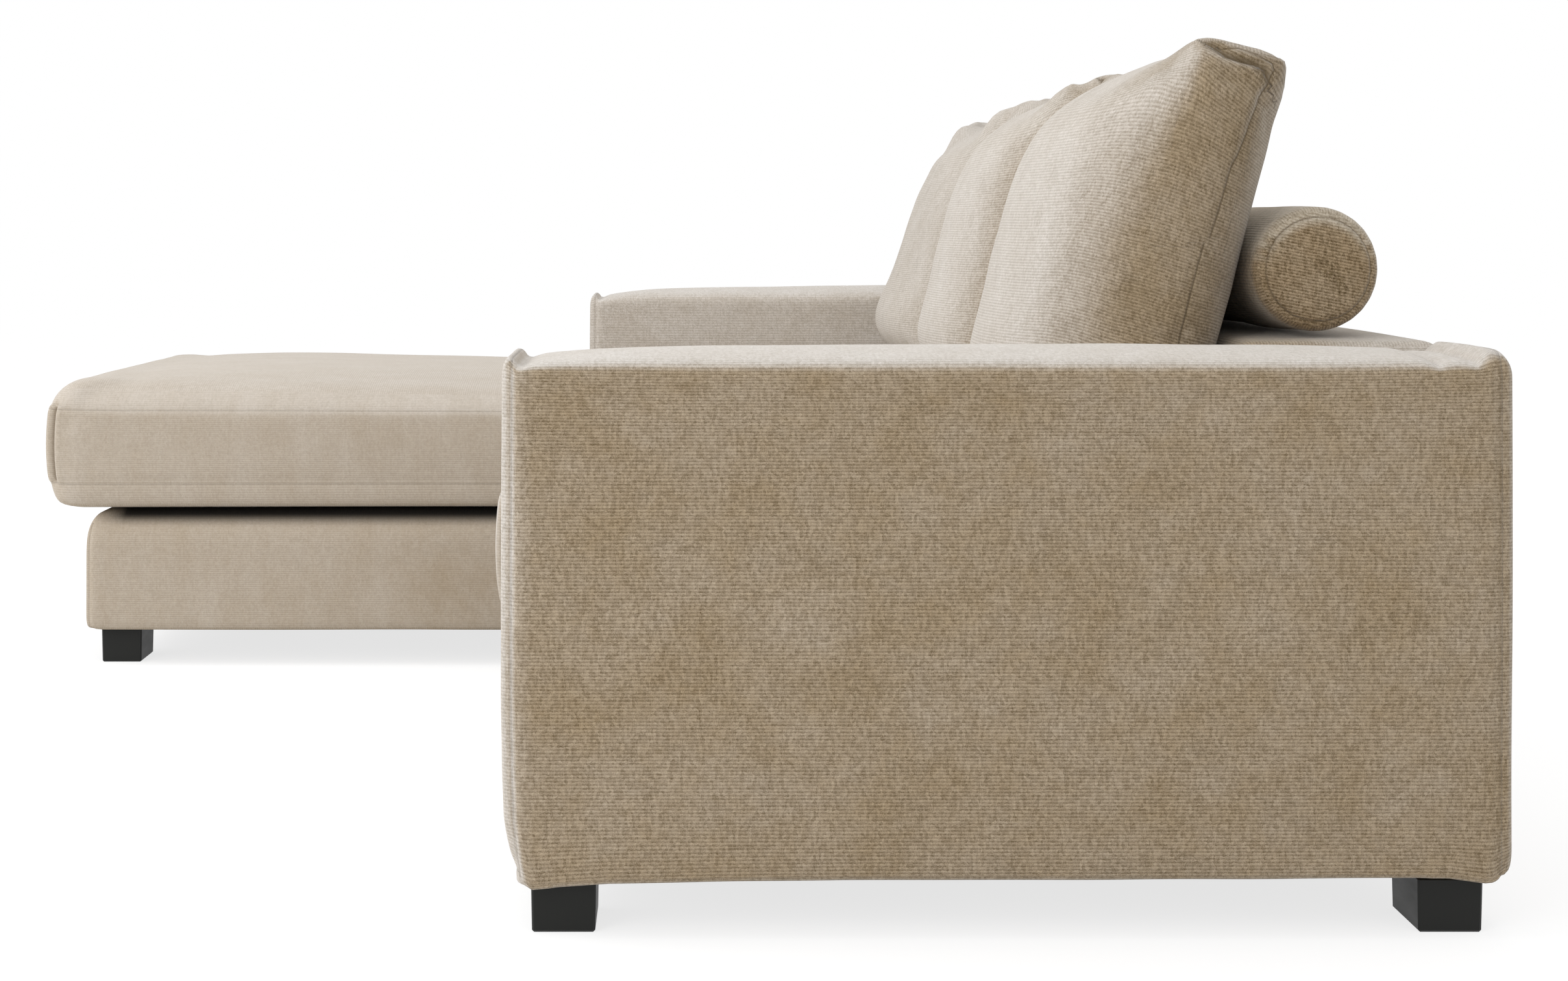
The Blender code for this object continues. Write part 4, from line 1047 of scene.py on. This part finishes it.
# The far arm's inner side lies lighter: painted light
farArmNapAndShade = dict(arm["napAndShade"], right=0.74)


def makeArm(node, napAndShade, seed):
    look = arm
    low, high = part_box(node)
    piece, rest, share = startPiece(node, look, low, high, topAlongY=True)
    fromFront, toBack = rest[:, 1] - low[1], high[1] - rest[:, 1]
    frontField = (fromFront - look["frontSeam"]) * 1000
    backField = (toBack - look["backSeam"]) * 1000
    above = rest[:, 2] >= low[2] + 0.004
    setSeams(piece, onlyWhere(frontField, above), onlyWhere(backField, above))
    upper = np.clip((share[:, 2] + 1) / 2, 0, 1) ** 8
    rise = (1 - share[:, 0] ** 2) * (1 - share[:, 1] ** 4)
    form = tightenUnderside(rest, low, high, look)
    form[:, 1] -= readCurve(look["frontBulge"], form[:, 2]) * bell(fromFront, look["rounding"])
    form[:, 2] -= (look["crown"] * (1 - rise) + look["topSag"][node] * (1 - share[:, 1] ** 4)) * upper
    depth, width = look["sideSeams"]
    valleys = np.sign(share[:, 0]) * depth * (bell(frontField, width) + bell(backField, width))
    form[:, 0] -= np.where(np.abs(share[:, 0]) > 0.9, valleys, 0)
    setPoints(piece, form)
    pushOut(piece, waves(piece, look, seed))
    place = points(piece)
    place[:, 2] = np.maximum(place[:, 2], low[2])
    inner = (place[:, 0] < low[0]) if low[0] > 0 else (place[:, 0] > high[0])
    place[:, 0] = np.where(inner, low[0] if low[0] > 0 else high[0], place[:, 0])
    setPoints(piece, place)
    setField(piece, "lengthwise", rest[:, 1])
    subdivideWhere(piece, (fromFront < look["finer"][0]) | (toBack < look["finer"][1]))
    refine(piece)
    pinchSeams(piece, look)
    place = points(piece)
    lengthwise = getField(piece, "lengthwise")
    upper = climb(place[:, 2] - high[2], *look["earBand"]) ** 2
    across = np.abs(place[:, 0] - (low[0] + high[0]) / 2) / ((high[0] - low[0]) / 2)
    ears = readCurve(look["frontEar"], lengthwise - low[1])
    ears += readCurve(look["backEar"], high[1] - lengthwise)
    place[:, 2] += upper * ears * (1 - np.clip(across, 0, 1) ** 10)
    start, width, height = look["hangBand"]
    outer = np.clip((place[:, 0] if low[0] > 0 else -place[:, 0]) - start, 0, width) / width
    under = np.clip((low[2] + height - place[:, 2]) / height, 0, 1)
    place[:, 2] -= outer * under * readCurve(look["hang"], lengthwise)
    setPoints(piece, place)
    setNapAndShade(piece, napAndShade)
    # Painted light with the pile: the sides are lighter near the front panel
    lighter, reach = look["strokedAndLit"]
    lyingAndLit = getField(piece, "napAndShade")
    liftedAndLit = lyingAndLit + lighter * np.clip(1 - (lengthwise - low[1]) / reach, 0, 1)
    setField(piece, "napAndShade", np.maximum(lyingAndLit, np.minimum(liftedAndLit, napAndShade["front"])))
    finishPiece(piece, node, "frame", coverFabric)
    hollowCover(piece, low, high, look["wall"], low[2] - 0.05, high[2] - look["topPad"])


makeArm("arm_cover_right", arm["napAndShade"], 31)
makeArm("arm_cover_left", farArmNapAndShade, 32)
print("stage: arms made")


# Back rail in two lengths, wrapped like the arms
backRail = {
    "rounding": 0.020,
    "underRound": 0.25,
    "spacing": 0.0135,
    "crown": 0.005,
    "wall": 0.020,
    "topPad": 0.030,
    # How light the pile lies on each side, with painted light and shade
    "napAndShade": {"right": 0.5, "left": 0.5, "front": 0.55, "back": 0.25, "top": 0.70, "under": 0.3},
    "shadeUnderBolsters": ((0.0, 0.1), (0.30, 0.3), (0.50, 0.9), (0.65, 1.0)),  # painted shade of its top under the bolsters, front to back
    "topSeam": 0.030,
    "waves": ((0.40, 0.0014, 0),),
    "tight": 0.0012,
    "seamPinch": (0.0020, 0.0045),
    "fill": 0.9,
}


def makeBackRail(node, seed):
    look = backRail
    low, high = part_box(node)
    piece, rest, share = startPiece(node, look, low, high)
    topField = (high[2] - rest[:, 2] - look["topSeam"]) * 1000
    setSeams(piece, onlyWhere(topField, share[:, 1] > 0.5))
    upper = np.clip((share[:, 2] + 1) / 2, 0, 1) ** 8
    rise = (1 - share[:, 0] ** 4) * (1 - share[:, 1] ** 4)
    form = tightenUnderside(rest, low, high, look)
    form[:, 2] -= look["crown"] * (1 - rise) * upper
    setPoints(piece, form)
    pushOut(piece, waves(piece, look, seed) - look["tight"])
    setPoints(piece, np.clip(points(piece), low, np.array(high) + (0, 0.004, 0.003)))
    refine(piece)
    pinchSeams(piece, look)
    setNapAndShade(piece, look["napAndShade"])
    place = points(piece)
    # Painted shade: the top darkens under the bolsters, darkest at the front
    shadeUnderBolsters = readCurve(look["shadeUnderBolsters"], (place[:, 1] - low[1]) / (high[1] - low[1]))
    onTop = place[:, 2] > high[2] - look["topSeam"]
    setField(piece, "napAndShade", getField(piece, "napAndShade") * np.where(onTop, shadeUnderBolsters, 1))
    finishPiece(piece, node, "frame", coverFabric)
    hollowCover(piece, low, high, look["wall"], low[2] - 0.05, high[2] - look["topPad"])


makeBackRail("back_cover_sofa", 41)
makeBackRail("back_cover_chaise", 42)
print("stage: back rail made")


# Bases: cloth pulled over padded rails, open in the middle for the sprung deck
base = {
    "rounding": 0.018,
    "underRound": 0.4,
    "roll": 0.052,
    "gapShadeDrop": (0.011, 0.033),  # the painted black shade ends so far under the seat cushions
    "spacing": 0.0135,
    "wall": 0.020,
    "rimWidth": 0.070,
    "rimThickness": 0.020,
    "cornerSeamTop": 0.012,  # its seams end so far under its top
    # How light the pile lies on each side, with painted light and shade
    "napAndShade": {"right": 0.39, "left": 0.39, "front": 0.38, "back": 0.35, "top": 0.35, "under": 0.3},
    "strokedMark": (-0.260, 0.127, 0.060, 0.13),  # along, up, radius and depth, on the chaise base's side
    "markWander": (0.04, 0.035),  # size and reach
    "waves": ((0.33, 0.0012, 0),),
    "seamPinch": (0.0016, 0.0040),
    "fill": 0.9,
}


def makeBase(node, seed):
    look = base
    low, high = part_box(node)
    piece, rest, share = startPiece(node, look, low, high)
    atFront = (share[:, 1] < -0.9) & (rest[:, 2] < high[2] - look["cornerSeamTop"])
    setSeams(piece, onlyWhere(cornerField(rest, low, high), atFront))
    form = tightenUnderside(rest, low, high, look)
    setPoints(piece, rollTop(form, low, high, look["rounding"], look["roll"]))
    relax(piece, 3, climb(rest[:, 2] - high[2], -0.07, 0.02))
    pushOut(piece, waves(piece, look, seed))
    setPoints(piece, np.clip(points(piece), np.array(low) - (0, 0.003, 0), high))
    refine(piece)
    pinchSeams(piece, look)
    setNapAndShade(piece, look["napAndShade"])
    place = points(piece)
    if node == "chaise_base_cover":
        along, up, radius, depth = look["strokedMark"]
        size, reach = look["markWander"]
        away = np.hypot(place[:, 1] - along, place[:, 2] - up) + ripple(place, size, seed) * reach
        setField(piece, "napAndShade", getField(piece, "napAndShade") - depth * bell(away, radius))
    # Painted shade: black in the gap under the seat cushions, fading lower down and near the front
    ended, faded = look["gapShadeDrop"]
    fromNose = climb(place[:, 1] - low[1], 0.012, 0.05)
    black = np.clip((faded - (high[2] - place[:, 2])) / (faded - ended), 0, 1)
    setField(piece, "gapShade", smooth(black) * fromNose)
    finishPiece(piece, node, "frame", baseFabric)
    rimUnder = high[2] - look["rimThickness"]
    hollowCover(piece, low, high, look["wall"], low[2] - 0.05, rimUnder)
    hollowCover(piece, low, high, look["rimWidth"], rimUnder - 0.01, high[2] + 0.05)


makeBase("seat_base_cover", 51)
makeBase("chaise_base_cover", 52)
print("stage: bases made")


# Beech, stained black and lacquered satin: long dark grain just visible, a soft shine on its edges
def makeStainedBeech():
    material, tree, shader = startMaterial("black_stained_beech")
    place = addNode(tree, "TexCoord", {}).outputs["Object"]
    stretch = addNode(tree, "Mapping", {"Scale": (14.0, 260.0, 60.0), "Vector": place})
    grain = addNode(tree, "TexNoise", {"Scale": 1.0, "Detail": 5.0, "Vector": stretch})
    tone = addNode(tree, "Mix", {"data_type": "RGBA", 0: grain, 6: linear("#080907"), 7: linear("#131410")})
    gloss = addNode(tree, "MapRange", {"Value": grain, "To Min": 0.38, "To Max": 0.58})
    bump = addNode(tree, "Bump", {"Strength": 0.3, "Distance": 0.0003, "Height": grain})
    fillNode(tree, shader, {
        "Base Color": tone.outputs[2], "Roughness": gloss, "Normal": bump, "Specular IOR Level": 0.3})
    return material


# Spruce and plywood frame, sawn and planed: pale yellow, growth rings some 3 mm apart, dull
def makeSpruce():
    material, tree, shader = startMaterial("planed_spruce")
    place = addNode(tree, "TexCoord", {}).outputs["Object"]
    stretch = addNode(tree, "Mapping", {"Scale": (1.0, 1.0, 14.0), "Vector": place})
    rings = addNode(tree, "TexWave", {
        "wave_type": "RINGS", "Scale": 9.0, "Distortion": 5.0, "Detail": 3.0, "Vector": stretch})
    fibre = addNode(tree, "TexNoise", {"Scale": 160.0, "Detail": 4.0, "Vector": place})
    tone = addNode(tree, "Mix", {
        "data_type": "RGBA", 0: rings.outputs["Fac"], 6: linear("#dcc095"), 7: linear("#b98f5d")})
    rough = addNode(tree, "MapRange", {"Value": fibre, "To Min": 0.55, "To Max": 0.75})
    bump = addNode(tree, "Bump", {"Strength": 0.25, "Distance": 0.0004, "Height": fibre})
    fillNode(tree, shader, {"Base Color": tone.outputs[2], "Roughness": rough, "Normal": bump})
    return material


# Drawn spring wire and pressed strip. The wire is oiled and dark, the strip and plates are zinc plated:
# bright grey with a fine crystal mottle of a few millimetres
def makeSteel(name, dark, light, scale, roughness):
    material, tree, shader = startMaterial(name)
    place = addNode(tree, "TexCoord", {}).outputs["Object"]
    mottle = addNode(tree, "TexVoronoi", {"feature": "SMOOTH_F1", "Scale": scale, "Vector": place})
    tone = addNode(tree, "Mix", {
        "data_type": "RGBA", 0: mottle.outputs["Color"], 6: linear(dark), 7: linear(light)})
    rough = addNode(tree, "MapRange", {"Value": mottle, "To Min": roughness - 0.07, "To Max": roughness + 0.07})
    fillNode(tree, shader, {"Base Color": tone.outputs[2], "Roughness": rough, "Metallic": 1.0})
    return material


# Needled felt: matted grey fibres a few millimetres long, with flecks of other colours
def makeFelt(name, dark, light, scale, height):
    material, tree, shader = startMaterial(name)
    place = addNode(tree, "TexCoord", {}).outputs["Object"]
    fibres = addNode(tree, "TexNoise", {
        "Scale": scale, "Detail": 6.0, "Roughness": 0.75, "Distortion": 1.5, "Vector": place})
    spread = addNode(tree, "MapRange", {"Value": fibres, "From Min": 0.35, "From Max": 0.65})
    tone = addNode(tree, "Mix", {"data_type": "RGBA", 0: spread, 6: linear(dark), 7: linear(light)})
    bump = addNode(tree, "Bump", {"Strength": 0.6, "Distance": height, "Height": fibres})
    fillNode(tree, shader, {
        "Base Color": tone.outputs[2], "Normal": bump, "Roughness": 0.95, "Specular IOR Level": 0.15})
    return material


# Elastic webbing, 70 mm wide: polypropylene bands with ribs 4 mm apart and darker lines
def makeWebbing():
    material, tree, shader = startMaterial("elastic_webbing")
    place = addNode(tree, "TexCoord", {}).outputs["Object"]
    ribs, cross = (
        addNode(tree, "TexWave", {
            "bands_direction": way, "Scale": scale, "Distortion": bend, "Vector": place})
        for way, scale, bend in (("X", 40.0, 0.2), ("Z", 110.0, 0.3)))
    weft = addNode(tree, "Math", {"operation": "MULTIPLY", 0: ribs.outputs["Fac"], 1: cross.outputs["Fac"]})
    tone = addNode(tree, "Mix", {"data_type": "RGBA", 0: weft, 6: linear("#6d5a45"), 7: linear("#a48b6c")})
    bump = addNode(tree, "Bump", {"Strength": 0.5, "Distance": 0.0005, "Height": weft})
    fillNode(tree, shader, {"Base Color": tone.outputs[2], "Normal": bump, "Roughness": 0.8})
    return material


stainedBeech = makeStainedBeech()
spruce = makeSpruce()
springWire = makeSteel("oiled_spring_wire", "#3c3b39", "#6a6864", 220.0, 0.36)
zincSteel = makeSteel("zinc_plated_steel", "#9aa0a5", "#c9cdd0", 180.0, 0.34)
felt = makeFelt("needled_felt", "#8f8b84", "#cfcac0", 220.0, 0.0010)
dustCloth = makeFelt("black_dust_cloth", "#131313", "#26282a", 420.0, 0.0003)
webbing = makeWebbing()

carriedOver = {
    "foot_": stainedBeech, "arm_frame": spruce, "back_frame": spruce, "seat_frame": spruce, "chaise_frame": spruce,
    "seat_spring": springWire, "chaise_spring": springWire, "seat_clip": zincSteel, "chaise_clip": zincSteel,
    "connector": zincSteel, "seat_deck": felt, "chaise_deck": felt, "dust_cloth": dustCloth, "back_strap": webbing,
    "arm_cover": coverFabric, "back_cover": coverFabric, "seat_base": baseFabric, "chaise_base": baseFabric,
    "seat_cushion": seatFabric, "back_cushion": pillowFabric, "bolster": bolsterFabric,
}
for name, node in nodes.items():
    finish = next(material for start, material in carriedOver.items() if name.startswith(start))
    for materialSlot in node.material_slots:
        materialSlot.material = finish
print("stage: carried-over nodes finished")


# A plain pale room: a floor that the camera sees as white but for the sofa's shadow, and soft lights
room = {
    "floorSize": 60,
    "seenDiffuse": 0.30,
    "seenGlow": 0.76,
    "floorWhite": 0.80,
    "worldLight": 0.80,
    "lights": {
        "overhead": {"place": (0.2, 0.0, 3.3), "aim": (0.0, 0.1, 0.0), "size": 3.4, "power": 26},
        "front": {"place": (0.7, -3.4, 2.0), "aim": (-0.1, 0.1, 0.4), "size": 2.4, "power": 60},
        "side": {"place": (4.3, -2.4, 2.1), "aim": (0.0, 0.2, 0.4), "size": 2.6, "power": 52},
    },
}


def seenRays(tree):
    # 1 for what the camera sees, also by reflection or through glass, else 0
    rays = addNode(tree, "LightPath", {})
    seen = addNode(tree, "Math", {
        "operation": "MAXIMUM", 0: rays.outputs["Is Camera Ray"], 1: rays.outputs["Is Glossy Ray"]})
    return addNode(tree, "Math", {"operation": "MAXIMUM", 0: seen, 1: rays.outputs["Is Transmission Ray"]})


deselectAll()
bpy.ops.mesh.primitive_plane_add(size=room["floorSize"], location=(0, 0, 0))
floor = bpy.context.object
floor.name = "floor"
paper = bpy.data.materials.new("matt_white_paper")
paper.use_nodes = True
tree = paper.node_tree
tree.nodes.clear()
seenDiffuse = addNode(tree, "BsdfDiffuse", {"Color": (room["seenDiffuse"],) * 3 + (1,)})
seenGlow = addNode(tree, "Emission", {"Color": (1, 1, 1, 1), "Strength": room["seenGlow"]})
seen = addNode(tree, "AddShader", {0: seenDiffuse, 1: seenGlow})
lit = addNode(tree, "BsdfDiffuse", {"Color": (room["floorWhite"],) * 3 + (1,)})
both = addNode(tree, "MixShader", {0: seenRays(tree), 1: lit, 2: seen})
addNode(tree, "OutputMaterial", {"Surface": both})
floor.data.materials.append(paper)

world = bpy.data.worlds.new("white_room")
world.use_nodes = True
scene.world = world
tree = world.node_tree
tree.nodes.clear()
strength = addNode(tree, "MapRange", {"Value": seenRays(tree), "To Min": room["worldLight"], "To Max": 1.0})
sky = addNode(tree, "Background", {"Color": (1, 1, 1, 1), "Strength": strength})
addNode(tree, "OutputWorld", {"Surface": sky})

for name, light in room["lights"].items():
    bpy.ops.object.light_add(type="AREA", location=light["place"])
    lamp = bpy.context.object
    lamp.name = "light_" + name
    lamp.data.shape = "DISK"
    lamp.data.size = light["size"]
    lamp.data.energy = light["power"]
    lamp.rotation_euler = (Vector(light["aim"]) - Vector(light["place"])).to_track_quat("-Z", "Y").to_euler()
print("stage: room and lights made")
